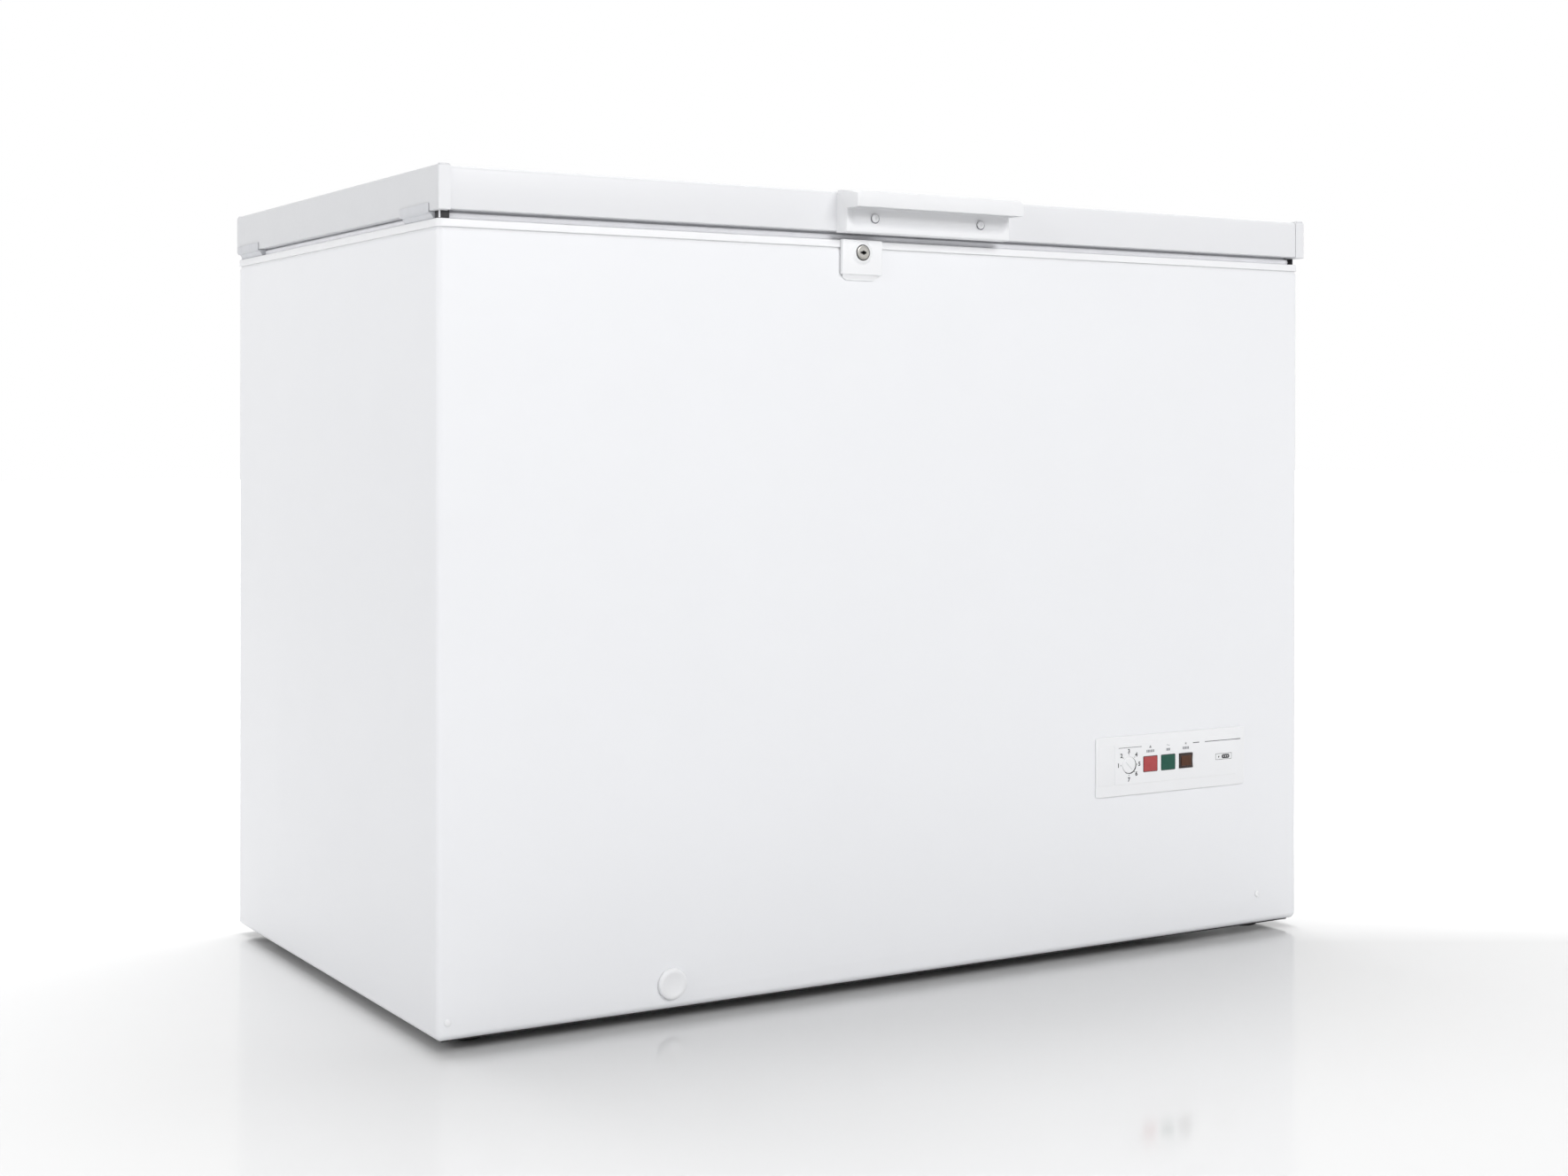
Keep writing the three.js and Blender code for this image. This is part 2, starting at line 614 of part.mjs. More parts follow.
function hingePin() {
  return join(rodX(4, -35, 36, 0, 0, 12), rodX(6.5, -37, -34, 0, 0, 12));
}

function hingeSpring() {
  const wire = 1.25;
  const mean = 8.6;
  const turns = 4;
  const perTurn = 10;
  const first = 16;
  const pitch = 2.8;
  const points = [];
  for (let i = 0; i <= turns * perTurn; i++) {
    const angle = (2 * Math.PI * i) / perTurn;
    const along = first + (pitch * i) / perTurn;
    points.push(new THREE.Vector3(along, mean * Math.cos(angle), mean * Math.sin(angle)));
  }
  const end = points[points.length - 1];
  points.push(new THREE.Vector3(end.x + 0.6, mean - 1.5, 6));
  points.push(new THREE.Vector3(end.x + 0.6, mean - 5, 13));
  return pipe(points, wire, 5);
}

// ---------------------------------------------------------------- lid
function lidTopPanel() {
  const { sheet } = LID;
  const x = LID_INNER_X - GAP;
  const outside = prismX(roundedRect(LID_FRONT, LID_REAR, LID.bottom, LID.top, [1, 1, 5, 5]), -x, x, 4);
  const hollow = roundedRect(
    LID_FRONT + sheet, LID_REAR - sheet, LID.bottom + sheet, LID.top - sheet, [0, 0, 4, 4],
  );
  const inside = prismX(hollow, -x - 1, x + 1, 4);
  const mouth = box(-x - 1, x + 1, LID_FRONT + 9, LID_REAR - 9, LID.bottom - 1, LID.bottom + 2);
  return cut(outside, inside, mouth, camSlot(), ...screwHoles());
}

// Where the lock's cam rises into the lid.
function camSlot() {
  const y = FRONT - CAM.front + CAM.thick / 2;
  return box(LOCK.x - 8, LOCK.x + 15, y - 1.5, y + 1.5, LID.bottom - 3, LID.bottom + 5);
}

function screwHoles() {
  const r = SCREW.shank + 0.6;
  return [-SCREW.x, SCREW.x].map((x) => rodY(r, LID_FRONT - 30, LID_FRONT + 15, x, SCREW.z, 8));
}

// The left end trim: a shell open towards the lid.
function lidTrim() {
  const x0 = -LID_SIDE;
  const x1 = -LID_INNER_X;
  const y0 = LID_FRONT - TRIM.proud;
  const y1 = LID_REAR + TRIM.proud;
  const { bottom, top, wall } = TRIM;
  const outside = common(
    prismZ(roundedRect(x0, x1, y0, y1, [12, 0, 0, 12]), bottom, top),
    prismY(roundedRect(x0, x1, bottom, top, [3, 0, 0, 6]), y0, y1),
    prismX(roundedRect(y0, y1, bottom, top, [1.5, 1.5, 5, 5]), x0, x1),
  );
  const inside = prismZ(
    roundedRect(x0 + wall, x1 + 5, y0 + wall, y1 - wall, [10, 0, 0, 10]), bottom + wall, top - wall,
  );
  return cut(outside, inside);
}

const TRAY_INSET = 50; // the lid's inner panel drops into the collar inside this inset
const RIM_BOTTOM = LID.bottom + LID.sheet + GAP;

function lidInnerPanel() {
  const x = LID_INNER_X - 0.8;
  const rim = box(-x, x, LID_FRONT + 1.6, LID_REAR - 1.6, RIM_BOTTOM, RIM_BOTTOM + 2);
  const tray = prismZ(planOutline(TRAY_INSET), COLLAR.top - 3, RIM_BOTTOM + 1);
  const hollow = prismZ(planOutline(TRAY_INSET + 2), COLLAR.top - 1, RIM_BOTTOM + 5);
  return cut(join(rim, tray), hollow, camSlot());
}

function lidInsulation() {
  const x = LID_INNER_X - 0.8;
  const top = LID.top - LID.sheet - 0.4;
  const outline = roundedRect(LID_FRONT + 1.6, LID_REAR - 1.6, RIM_BOTTOM + 2.4, top, [0, 0, 6, 6]);
  const slab = prismX(outline, -x, x, 2);
  const core = prismZ(planOutline(TRAY_INSET + 2.4), COLLAR.top - 0.6, RIM_BOTTOM + 5);
  return cut(join(slab, core), ...screwHoles());
}

function lidGasket() {
  const outer = 11.6;
  const inner = 25;
  const outline = (inset, r) => roundedRect(-SIDE + inset, SIDE - inset, FRONT + inset, BACK - inset, r);
  const bottom = COLLAR.top + GAP;
  const top = RIM_BOTTOM - GAP;
  const ring = cut(
    prismZ(outline(outer, 10), bottom, top, 3),
    prismZ(outline(inner, 5), bottom - 1, top + 1, 3),
  );
  // An outer groove halfway up is the fold of the bellows.
  const middle = (bottom + top) / 2;
  const groove = cut(
    prismZ(outline(outer - 3, 12), middle - 1.2, middle + 1.2, 3),
    prismZ(outline(outer + 3, 8), middle - 2, middle + 2, 3),
  );
  return cut(ring, groove);
}

const SEAT = HANDLE.lip - 4; // the flat in the scoop that the screws hold, in front of the lid

// Profile points are [distance in front of the lid, height].
function lidHandle() {
  const { half, taper, reach, top, hoodBottom, lip, bottom } = HANDLE;
  const at = (points) => polygon(points.map(([forward, z]) => [LID_FRONT - forward, z]));
  const body = at([
    [GAP, bottom], [lip - 2.6, bottom], [lip - 0.6, bottom + 2], [lip, bottom + 5.5], [SEAT, bottom + 11],
    [SEAT, hoodBottom - 2.2], [SEAT + 1.6, hoodBottom - 0.6], [lip + 1.6, hoodBottom],
    [reach - 2.5, hoodBottom], [reach - 0.3, hoodBottom + 1.7], [reach, top - 5.7],
    [reach - 0.9, top - 4], [reach - 3.5, top - 2.6], [reach - 22, top - 0.7], [GAP, top],
  ]);
  // The hood is a shell: fingertips curl up behind its front.
  const hollow = at([
    [lip + 3, hoodBottom - 5], [reach - 3.5, hoodBottom - 5], [reach - 4.5, top - 9.5],
    [reach - 8, top - 6.2], [lip + 5.5, top - 5],
  ]);
  const underHood = prismX(hollow, -half + 9, half - 9);
  const front = LID_FRONT - reach;
  const outline = polygon([
    [-half, LID_FRONT], [-half + 0.6, LID_FRONT - lip],
    [-half + taper, front + 5], [-half + taper + 6, front],
    [half - taper - 6, front], [half - taper, front + 5],
    [half - 0.6, LID_FRONT - lip], [half, LID_FRONT],
  ]);
  const fromFront = roundedRect(-half, half, bottom, top + 5, [7, 7, 0, 0]);
  const form = common(
    prismX(body, -half, half),
    prismZ(outline, bottom - 5, top + 5),
    prismY(fromFront, front - 5, LID_FRONT, 4),
  );
  return cut(form, underHood, ...screwHoles());
}

// Drawn about the screw's axis, with Y = 0 on the lid's front.
function handleScrew() {
  const seat = -SEAT - GAP;
  const top = seat - 2.6;
  const profile = [[0, top], [SCREW.head - 1.6, top], [SCREW.head, top + 1.2], [SCREW.head, seat], [0, seat]];
  const head = turned(profile, 12, "y");
  const slot = box(-2.8, 2.8, top - 2, top + 1, -0.5, 0.5);
  return cut(join(head, rodY(SCREW.shank, seat - 1, 12, 0, 0, 8)), slot);
}

// A clip at the left side, between the lid's end trim and the collar.
function lidSpacer() {
  const outer = -LID_SIDE - 1.2;
  const under = TRIM.bottom - GAP;
  const profile = polygon([
    [outer, 862], [outer, under - 1.4], [outer + 3, under - 2.2], [outer + 5.5, COLLAR.top + GAP],
    [outer + 9.5, COLLAR.top + GAP], [outer + 11.5, under], [outer + 0.9, under], [outer + 0.9, 862],
  ]);
  return prismY(profile, 0, 78);
}

// ---------------------------------------------------------------- basket
function storageBasket() {
  const { left, right, front, rear, bottom, rim, wall } = BASKET;
  const lip = 4;
  const tub = prismZ(roundedRect(left, right, front, rear, 24), bottom, rim + lip);
  const hooked = prismZ(roundedRect(left - 6, right + 6, front - 20, rear + 20, 12), rim, rim + lip);
  const inside = prismZ(
    roundedRect(left + wall, right - wall, front + wall, rear - wall, 22), bottom + wall, rim + lip + 5,
  );
  return cut(join(tub, hooked), inside);
}

// ---------------------------------------------------------------- assembly
function group(...children) {
  const made = new THREE.Group();
  made.add(...children);
  return made;
}

function placed(mesh, x, y, z) {
  mesh.position.set(x, y, z);
  return mesh;
}

function feet() {
  const front = FRONT + FOOT.inset;
  const rear = BACK - FOOT.inset;
  const first = placed(piece("foot_front_left", foot(), BLACK_PLASTIC), -FOOT.x, front, 0);
  return group(
    first,
    copyOf(first, "foot_front_right", { mirror: true }),
    copyOf(first, "foot_rear_left", { y: rear }),
    copyOf(first, "foot_rear_right", { mirror: true, y: rear }),
  );
}

function coolingUnit() {
  const { x, y } = COMPRESSOR;
  const grommets = [];
  const first = piece("compressor_grommet_1", grommet(), BLACK_RUBBER);
  [[-88, -50], [88, -50], [-88, 50], [88, 50]].forEach(([dx, dy], i) => {
    const mesh = i === 0 ? first : copyOf(first, `compressor_grommet_${i + 1}`);
    grommets.push(placed(mesh, x + dx, y + dy, 0));
  });
  return group(
    placed(piece("compressor", compressor(), BLACK_PAINT), x, y, 0),
    piece("compressor_terminal_box", terminalBox(), BLACK_PLASTIC),
    ...grommets,
    placed(piece("filter_drier", filterDrier(), COPPER), DRIER.x, DRIER.y, 0),
    piece("discharge_pipe", dischargePipe(), COPPER),
    piece("condenser_tube", condenserTube(), COPPER),
    piece("evaporator_tube", evaporatorTube(), COPPER),
    piece("suction_pipe", suctionPipe(), COPPER),
    piece("compressor_grille", compressorGrille(), GALVANISED),
    placed(piece("cable_gland", cableGland(), BLACK_PLASTIC), GLAND.x, BACK, GLAND.z),
  );
}

function pairAtHinges(name, body, look) {
  const left = placed(piece(`${name}_left`, body, look), -HINGE.x, HINGE_Y, HINGE.z);
  return [left, copyOf(left, `${name}_right`, { mirror: true })];
}

function cabinet() {
  const rivet = piece("front_rivet_left", frontRivet(), WHITE_PLASTIC);
  placed(rivet, RIVETS.left.x, FRONT, RIVETS.left.z);
  const secondRivet = placed(copyOf(rivet, "front_rivet_right"), RIVETS.right.x, FRONT, RIVETS.right.z);
  return group(
    piece("cabinet_wrapper", cabinetWrapper(), WHITE_PAINT),
    piece("back_panel", backPanel(), GALVANISED),
    piece("base_plate", basePlate(), GALVANISED),
    piece("inner_liner", innerLiner(), LINER_PAINT),
    piece("cabinet_insulation", cabinetInsulation(), FOAM),
    piece("top_collar", topCollar(), WHITE_PLASTIC),
    feet(),
    piece("drain_tube", drainTube(), WHITE_PLASTIC),
    piece("control_panel", controlPanel(), WHITE_PLASTIC),
    piece("alarm_lamp", lampLens(LAMP.alarm), finish(0xc45a5c, 0.25)),
    piece("power_lamp", lampLens(LAMP.power), finish(0x285a4b, 0.25)),
    piece("thermostat_body", thermostatBody(), BLACK_PLASTIC),
    piece("lock_housing", lockHousing(), WHITE_PLASTIC),
    rivet,
    secondRivet,
    coolingUnit(),
    ...pairAtHinges("hinge_bracket", hingeBracket(), ZINC),
    ...pairAtHinges("hinge_pin", hingePin(), ZINC),
    ...pairAtHinges("hinge_spring", hingeSpring(), finish(0x6f7276, 0.35, 0.9)),
  );
}

function lid() {
  const trim = piece("lid_trim_left", lidTrim(), WHITE_PLASTIC);
  const screw = piece("handle_screw_left", handleScrew(), BLACK_PLASTIC);
  placed(screw, -SCREW.x, LID_FRONT, SCREW.z);
  const frontY = FRONT + 15;
  const rearY = FRONT + 562;
  const spacer = placed(piece("lid_spacer_front_left", lidSpacer(), finish(0x9aa0a8, 0.5)), 0, frontY, 0);
  return group(
    piece("lid_top_panel", lidTopPanel(), WHITE_PAINT),
    trim,
    copyOf(trim, "lid_trim_right", { mirror: true }),
    piece("lid_inner_panel", lidInnerPanel(), WHITE_PLASTIC),
    piece("lid_insulation", lidInsulation(), FOAM),
    piece("lid_gasket", lidGasket(), GASKET_RUBBER),
    piece("lid_handle", lidHandle(), WHITE_PLASTIC),
    screw,
    copyOf(screw, "handle_screw_right", { mirror: true }),
    ...pairAtHinges("hinge_arm", hingeArm(), ZINC),
    spacer,
    copyOf(spacer, "lid_spacer_front_right", { mirror: true }),
    copyOf(spacer, "lid_spacer_rear_left", { y: rearY }),
    copyOf(spacer, "lid_spacer_rear_right", { mirror: true, y: rearY }),
  );
}

const lock = group(
  placed(piece("lock_cylinder", lockCylinder(), NICKEL), LOCK.x, FRONT, LOCK.z),
  placed(piece("lock_cam", lockCam(), ZINC), LOCK.x, FRONT, LOCK.z),
);
const dial = placed(piece("thermostat_knob", thermostatKnob(), WHITE_PLASTIC), DIAL.x, FRONT, DIAL.z);
dial.rotation.y = DIAL.rest;
const controls = group(
  dial,
  placed(piece("super_switch", superSwitch(), finish(0x5a3a2a, 0.3)), LAMP.rocker, FRONT - 1, LAMP.z),
);
const drain = group(placed(piece("drain_cap", drainCap(), WHITE_PLASTIC), DRAIN.x, FRONT, DRAIN.z));
const basket = group(piece("storage_basket", storageBasket(), finish(0xf2f2f0, 0.35)));

const freezer = group(cabinet(), lid(), lock, controls, drain, basket);
export default freezer;
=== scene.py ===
# Looks of a white chest freezer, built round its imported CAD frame.
# Lengths in the code are millimetres and become metres in each mesh.
import json
from math import copysign, cos, hypot, pi, radians, sin, sqrt

import bmesh
import bpy
from mathutils import Matrix, Vector

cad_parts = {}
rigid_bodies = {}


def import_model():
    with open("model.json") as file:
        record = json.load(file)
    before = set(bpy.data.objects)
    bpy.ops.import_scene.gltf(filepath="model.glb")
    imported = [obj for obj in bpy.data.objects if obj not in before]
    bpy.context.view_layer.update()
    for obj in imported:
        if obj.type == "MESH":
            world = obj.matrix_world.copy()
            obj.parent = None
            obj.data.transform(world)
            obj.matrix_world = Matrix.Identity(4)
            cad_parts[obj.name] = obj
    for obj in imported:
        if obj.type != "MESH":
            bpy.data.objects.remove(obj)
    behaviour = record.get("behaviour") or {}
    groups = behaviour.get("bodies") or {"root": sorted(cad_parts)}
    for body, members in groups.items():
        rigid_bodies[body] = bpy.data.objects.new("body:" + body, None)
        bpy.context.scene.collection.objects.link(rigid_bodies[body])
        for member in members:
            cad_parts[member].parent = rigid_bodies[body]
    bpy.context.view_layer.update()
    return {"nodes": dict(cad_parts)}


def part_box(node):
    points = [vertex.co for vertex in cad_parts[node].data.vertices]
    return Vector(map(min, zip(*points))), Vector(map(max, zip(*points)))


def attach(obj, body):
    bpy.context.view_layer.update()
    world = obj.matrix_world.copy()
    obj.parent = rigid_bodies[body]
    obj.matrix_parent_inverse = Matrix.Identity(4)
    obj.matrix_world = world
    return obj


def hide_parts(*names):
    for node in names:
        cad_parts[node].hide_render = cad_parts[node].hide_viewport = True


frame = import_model()

MM = 0.001
MERGE = 2e-6  # metres: points nearer than this become one
CREASE = 32  # degrees: edges that turn more stay sharp


# ---- places taken from the CAD frame
def box_mm(node):
    low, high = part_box(node)
    return low / MM, high / MM


def middle(node, y=None, z=None):
    """The middle of a node's box, with y or z replaced where given."""
    x, own_y, own_z = [(a + b) / 2 for a, b in zip(*box_mm(node))]
    return x, own_y if y is None else y, own_z if z is None else z


CAB_LOW, CAB_HIGH = box_mm("cabinet_wrapper")
LID_LOW, LID_HIGH = box_mm("lid_top_panel")
TRIM_LOW, TRIM_HIGH = box_mm("lid_trim_left")
COLLAR_LOW, COLLAR_HIGH = box_mm("top_collar")
LINER_LOW, LINER_HIGH = box_mm("inner_liner")
BACK = box_mm("back_panel")[1].y
SIDE = CAB_HIGH.x
FRONT = CAB_LOW.y
DRAIN = middle("drain_cap", y=FRONT)
TANK_FLOOR = LINER_LOW.z + 1.5
EDGE = 7  # radius of the cabinet's upright edges
SIDES = (("left", -1), ("right", 1))
CORNERS = (("front_left", -1, -1), ("front_right", 1, -1), ("rear_left", -1, 1), ("rear_right", 1, 1))


# ---- mesh helpers
def linked(name, data):
    """A new object in the scene."""
    obj = bpy.data.objects.new(name, data)
    bpy.context.scene.collection.objects.link(obj)
    return obj


def smoothed(mesh, crease=CREASE):
    mesh.shade_smooth()
    mesh.set_sharp_from_angle(angle=radians(crease))


def edited(mesh, *steps):
    """Runs each step on the mesh, in bmesh form."""
    bm = bmesh.new()
    bm.from_mesh(mesh)
    for step in steps:
        step(bm)
    bm.to_mesh(mesh)
    bm.free()


def merge(bm):
    bmesh.ops.remove_doubles(bm, verts=bm.verts, dist=MERGE)


def face_outwards(bm):
    bmesh.ops.recalc_face_normals(bm, faces=bm.faces)


def finished(name, mesh, crease=CREASE):
    """An object with shared points merged and faces turned outwards."""
    edited(mesh, merge, face_outwards)
    smoothed(mesh, crease)
    return linked(name, mesh)


def mesh_object(name, verts, faces, crease=CREASE):
    """A mesh object from millimetre points."""
    mesh = bpy.data.meshes.new(name)
    mesh.from_pydata([Vector(v) * MM for v in verts], [], faces)
    return finished(name, mesh, crease)


def place(obj, body, material, slot, *replaced):
    """Gives an object its material and body, and says which CAD node it replaces. The slot is not used.
    """
    obj.data.materials.clear()
    obj.data.materials.append(material)
    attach(obj, body)
    if replaced:
        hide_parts(*replaced)
    return obj


def arc(cx, cy, r, start, end, steps):
    """Points on an arc, angles in degrees."""
    angles = [radians(start + (end - start) * i / steps) for i in range(steps + 1)]
    return [(cx + r * cos(angle), cy + r * sin(angle)) for angle in angles]


def rounded(x0, x1, y0, y1, radii, steps=6):
    """A rectangle with rounded corners, anticlockwise from the corner at x0, y0."""
    radii = radii if isinstance(radii, list) else [radii] * 4
    p, q, r, s = [max(value, 0.02) for value in radii]
    return (
        arc(x0 + p, y0 + p, p, 180, 270, steps)
        + arc(x1 - q, y0 + q, q, 270, 360, steps)
        + arc(x1 - r, y1 - r, r, 0, 90, steps)
        + arc(x0 + s, y1 - s, s, 90, 180, steps)
    )


def loft(loops, closed=False, sheet=False):
    """Points and faces between equal loops. A closed loft joins its last loop to its first, and a
    sheet is open at its sides and its ends."""
    count = len(loops[0])
    verts = [point for loop in loops for point in loop]
    faces = []
    for i in range(len(loops) if closed else len(loops) - 1):
        a, b = i * count, (i + 1) % len(loops) * count
        for k in range(count - 1 if sheet else count):
            n = (k + 1) % count
            faces.append((a + k, a + n, b + n, b + k))
    if not (closed or sheet):
        faces += [tuple(range(count)), tuple(range(len(verts) - count, len(verts)))]
    return verts, faces


def lofted(name, loops, crease=CREASE, **how):
    return mesh_object(name, *loft(loops, **how), crease=crease)


def plan(inset, radius=None):
    """The cabinet's outline seen from above, moved inwards."""
    radius = max(EDGE - inset, 0.6) if radius is None else radius
    return rounded(-SIDE + inset, SIDE - inset, FRONT + inset, BACK - inset, radius, 8)


def ring_round(name, profile, base, outline=plan):
    """A closed section of (inset, height over base) points, run round the plan."""
    loops = [[(x, y, base + rise) for x, y in outline(inset)] for inset, rise in profile]
    return lofted(name, loops, closed=True)


def assign(thing, **settings):
    for key, value in settings.items():
        setattr(thing, key, value)
    return thing


def modify(obj, kind, **settings):
    assign(obj.modifiers.new(kind, kind), **settings)


def baked(obj):
    """Applies an object's modifiers to its mesh."""
    graph = bpy.context.evaluated_depsgraph_get()
    mesh = bpy.data.meshes.new_from_object(obj.evaluated_get(graph))
    obj.modifiers.clear()
    obj.data = mesh
    smoothed(mesh)
    return obj


def bevelled(obj, width, segments=3, angle=28):
    """Rounds the edges sharper than the angle."""
    modify(obj, "BEVEL", width=width * MM, segments=segments, limit_method="ANGLE",
           angle_limit=radians(angle), harden_normals=False)
    return baked(obj)


def carve(obj, *cutters):
    """Cuts objects out of another and removes them."""
    for cutter in cutters:
        modify(obj, "BOOLEAN", operation="DIFFERENCE", solver="EXACT", object=cutter)
    baked(obj)
    for cutter in cutters:
        bpy.data.objects.remove(cutter)
    return obj


def solidified(obj, thickness, offset=-1):
    """Gives a sheet its thickness."""
    modify(obj, "SOLIDIFY", thickness=thickness * MM, offset=offset, use_even_offset=True)
    return baked(obj)


def block(name, x0, x1, y0, y1, z0, z1, radius=0.0, segments=3):
    """A box, its edges rounded where a radius is given."""
    corners = rectangle(x0, x1, y0, y1)
    obj = lofted(name, [[(x, y, z) for x, y in corners] for z in (z0, z1)])
    return bevelled(obj, radius, segments) if radius else obj


def rectangle(x0, x1, y0, y1):
    return [(x0, y0), (x1, y0), (x1, y1), (x0, y1)]


def slab_y(name, outline, y0, y1, edge=0.0, segments=3):
    """An (x, z) outline extruded from y0 back to y1, its front rim rounded by edge."""
    cx, cz = [sum(values) / len(outline) for values in zip(*outline)]

    def inwards(value, centre, shrink):
        offset = value - centre
        return value - copysign(min(shrink, abs(offset)), offset)

    levels = [(y1, 0)]
    if edge:
        angles = [radians(90 * i / segments) for i in range(segments + 1)]
        levels += [(y0 + edge * (1 - sin(angle)), edge * (1 - cos(angle))) for angle in angles]
    else:
        levels.append((y0, 0))
    return lofted(name, [[(inwards(x, cx, shrink), y, inwards(z, cz, shrink)) for x, z in outline]
                         for y, shrink in levels])


def lathe(name, profile, centre, axis="y", sides=48, crease=CREASE):
    """(radius, height) points turned about an axis through centre; heights run along +axis."""
    cx, cy, cz = centre
    angles = [2 * pi * i / sides for i in range(sides)]
    loops = []
    for r, h in profile:
        r = max(r, 0.001)
        ring = [(r * cos(angle), r * sin(angle)) for angle in angles]
        if axis == "y":
            loops.append([(cx + a, cy + h, cz + b) for a, b in ring])
        elif axis == "z":
            loops.append([(cx + a, cy + b, cz + h) for a, b in ring])
        else:
            loops.append([(cx + h, cy + a, cz + b) for a, b in ring])
    return lofted(name, loops, crease)


def turned(where, *shape, **how):
    """A lathe shape put in its place: body, material, slot and replaced node."""
    return place(lathe(*shape, **how), *where)


def rod(name, r, start, end, centre, **how):
    """A plain cylinder."""
    return lathe(name, [(0, start), (r, start), (r, end), (0, end)], centre, **how)


def tube(path, radius, sides=8, closed=False):
    """Points and faces of a round tube along a path."""
    points = [Vector(p) for p in path]
    first, last = (points[-1], points[0]) if closed else (points[0], points[-1])
    around = [first, *points, last]
    tangents = [(after - before).normalized() for before, after in zip(around, around[2:])]
    side = tangents[0].orthogonal().normalized()
    angles = [2 * pi * k / sides for k in range(sides)]
    loops = []
    for point, tangent in zip(points, tangents):
        side = (side - tangent * side.dot(tangent)).normalized()
        other = tangent.cross(side)
        loops.append([point + (side * cos(a) + other * sin(a)) * radius for a in angles])
    return loft(loops, closed=closed)


def together(name, parts, crease=40):
    """One object from several lists of points and faces."""
    verts, faces = [], []
    for part_verts, part_faces in parts:
        faces += [tuple(len(verts) + k for k in face) for face in part_faces]
        verts += list(part_verts)
    return mesh_object(name, verts, faces, crease)


def joined(name, *objects):
    """One object from several."""
    parts = [([v.co / MM for v in obj.data.vertices], [tuple(p.vertices) for p in obj.data.polygons])
             for obj in objects]
    for obj in objects:
        bpy.data.objects.remove(obj)
    return together(name, parts, CREASE)


def bend(corners, radius, steps=5):
    """Corner points joined by rounded bends."""
    places = [Vector(c) for c in corners]
    points = [places[0]]
    for before, corner, after in zip(places, places[1:], places[2:]):
        start = corner + (before - corner).normalized() * radius
        end = corner + (after - corner).normalized() * radius
        for i in range(steps + 1):
            t = i / steps
            points.append(start.lerp(corner, t).lerp(corner.lerp(end, t), t))
    points.append(places[-1])
    return points


def clean_copy(node, name):
    """A copy of a CAD node's mesh with its flat faces made whole again."""
    mesh = frame["nodes"][node].data.copy()
    edited(mesh, merge, lambda bm: bmesh.ops.dissolve_limit(
        bm, angle_limit=radians(0.5), verts=bm.verts, edges=bm.edges))
    for layer in list(mesh.attributes):
        if layer.name in ("custom_normal", "sharp_face", "sharp_edge"):
            mesh.attributes.remove(layer)
    return finished(name, mesh)


def refined(node, body, material, slot, width=0.5, segments=2, name=None):
    """A CAD node with its edges rounded and its turned faces smooth."""
    obj = clean_copy(node, name or node + "_made")
    if width:
        bevelled(obj, width, segments, angle=36)
    smoothed(obj.data, 40)
    return place(obj, body, material, slot, node)


# ---- materials
class Graph:
    """The shader nodes of a material or of the world."""

    def __init__(self, name, owner=None, end="Principled BSDF"):
        self.owner = owner or bpy.data.materials.new(name)
        self.owner.use_nodes = True
        self.tree = self.owner.node_tree
        self.end = self.tree.nodes[end]
        self.coords = self.node("TexCoord", {}, "Object")

    def fill(self, node, sockets):
        """Links each socket to its source, or sets its value."""
        for key, value in sockets.items():
            if isinstance(value, bpy.types.NodeSocket):
                self.tree.links.new(value, node.inputs[key])
            else:
                node.inputs[key].default_value = value

    def node(self, kind, sockets, output, **settings):
        """Adds a node and returns one of its outputs."""
        made = assign(self.tree.nodes.new("ShaderNode" + kind), **settings)
        self.fill(made, sockets)
        return made.outputs[output]

    def finish(self, sockets):
        self.fill(self.end, sockets)
        return self.owner

    def noise(self, scale, detail=3.0, stretch=None):
        source = self.coords
        if stretch:
            source = self.node("Mapping", {"Vector": source, "Scale": stretch}, "Vector")
        sockets = {"Vector": source, "Scale": scale, "Detail": detail, "Roughness": 0.55}
        return self.node("TexNoise", sockets, "Fac")

    def cells(self, scale, feature="F1", output="Distance"):
        sockets = {"Vector": self.coords, "Scale": scale}
        return self.node("TexVoronoi", sockets, output, feature=feature)

    def span(self, source, low, high, start=0.3, end=0.7):
        """Maps start to low and end to high."""
        sockets = {"Value": source, "From Min": start, "From Max": end, "To Min": low, "To Max": high}
        return self.node("MapRange", sockets, "Result")

    def blend(self, factor, first, second):
        sockets = {"Factor": factor, "A": (*first, 1), "B": (*second, 1)}
        return self.node("Mix", sockets, "Result", data_type="RGBA")

    def add(self, first, second, weight):
        return self.node("Math", {0: second, 1: weight, 2: first}, "Value", operation="MULTIPLY_ADD")

    def bump(self, height, strength, distance):
        sockets = {"Strength": strength, "Distance": distance, "Height": height}
        return self.node("Bump", sockets, "Normal")


def shade(color, factor):
    return tuple(min(c * factor, 1) for c in color)


def surface(name, color, rough, mottle, scale, metal=0.0, grain=1400.0, relief=0.00002,
            strength=0.25, coat=0.0, specular=0.5, stretch=None):
    """A material with slow colour drift, uneven gloss and a fine relief."""
    g = Graph(name)
    drift = g.span(g.noise(scale, 4.0, stretch), 0, 1)
    gloss = g.noise(scale * 7)
    return g.finish({
        "Base Color": g.blend(drift, shade(color, 1 - mottle), shade(color, 1 + mottle)),
        "Roughness": g.span(gloss, rough * 0.9, min(rough * 1.12, 1)),
        "Metallic": metal,
        "Coat Weight": coat,
        "Coat Roughness": 0.15,
        "Specular IOR Level": specular,
        "Normal": g.bump(g.noise(grain, 2.0, stretch), strength, relief),
    })


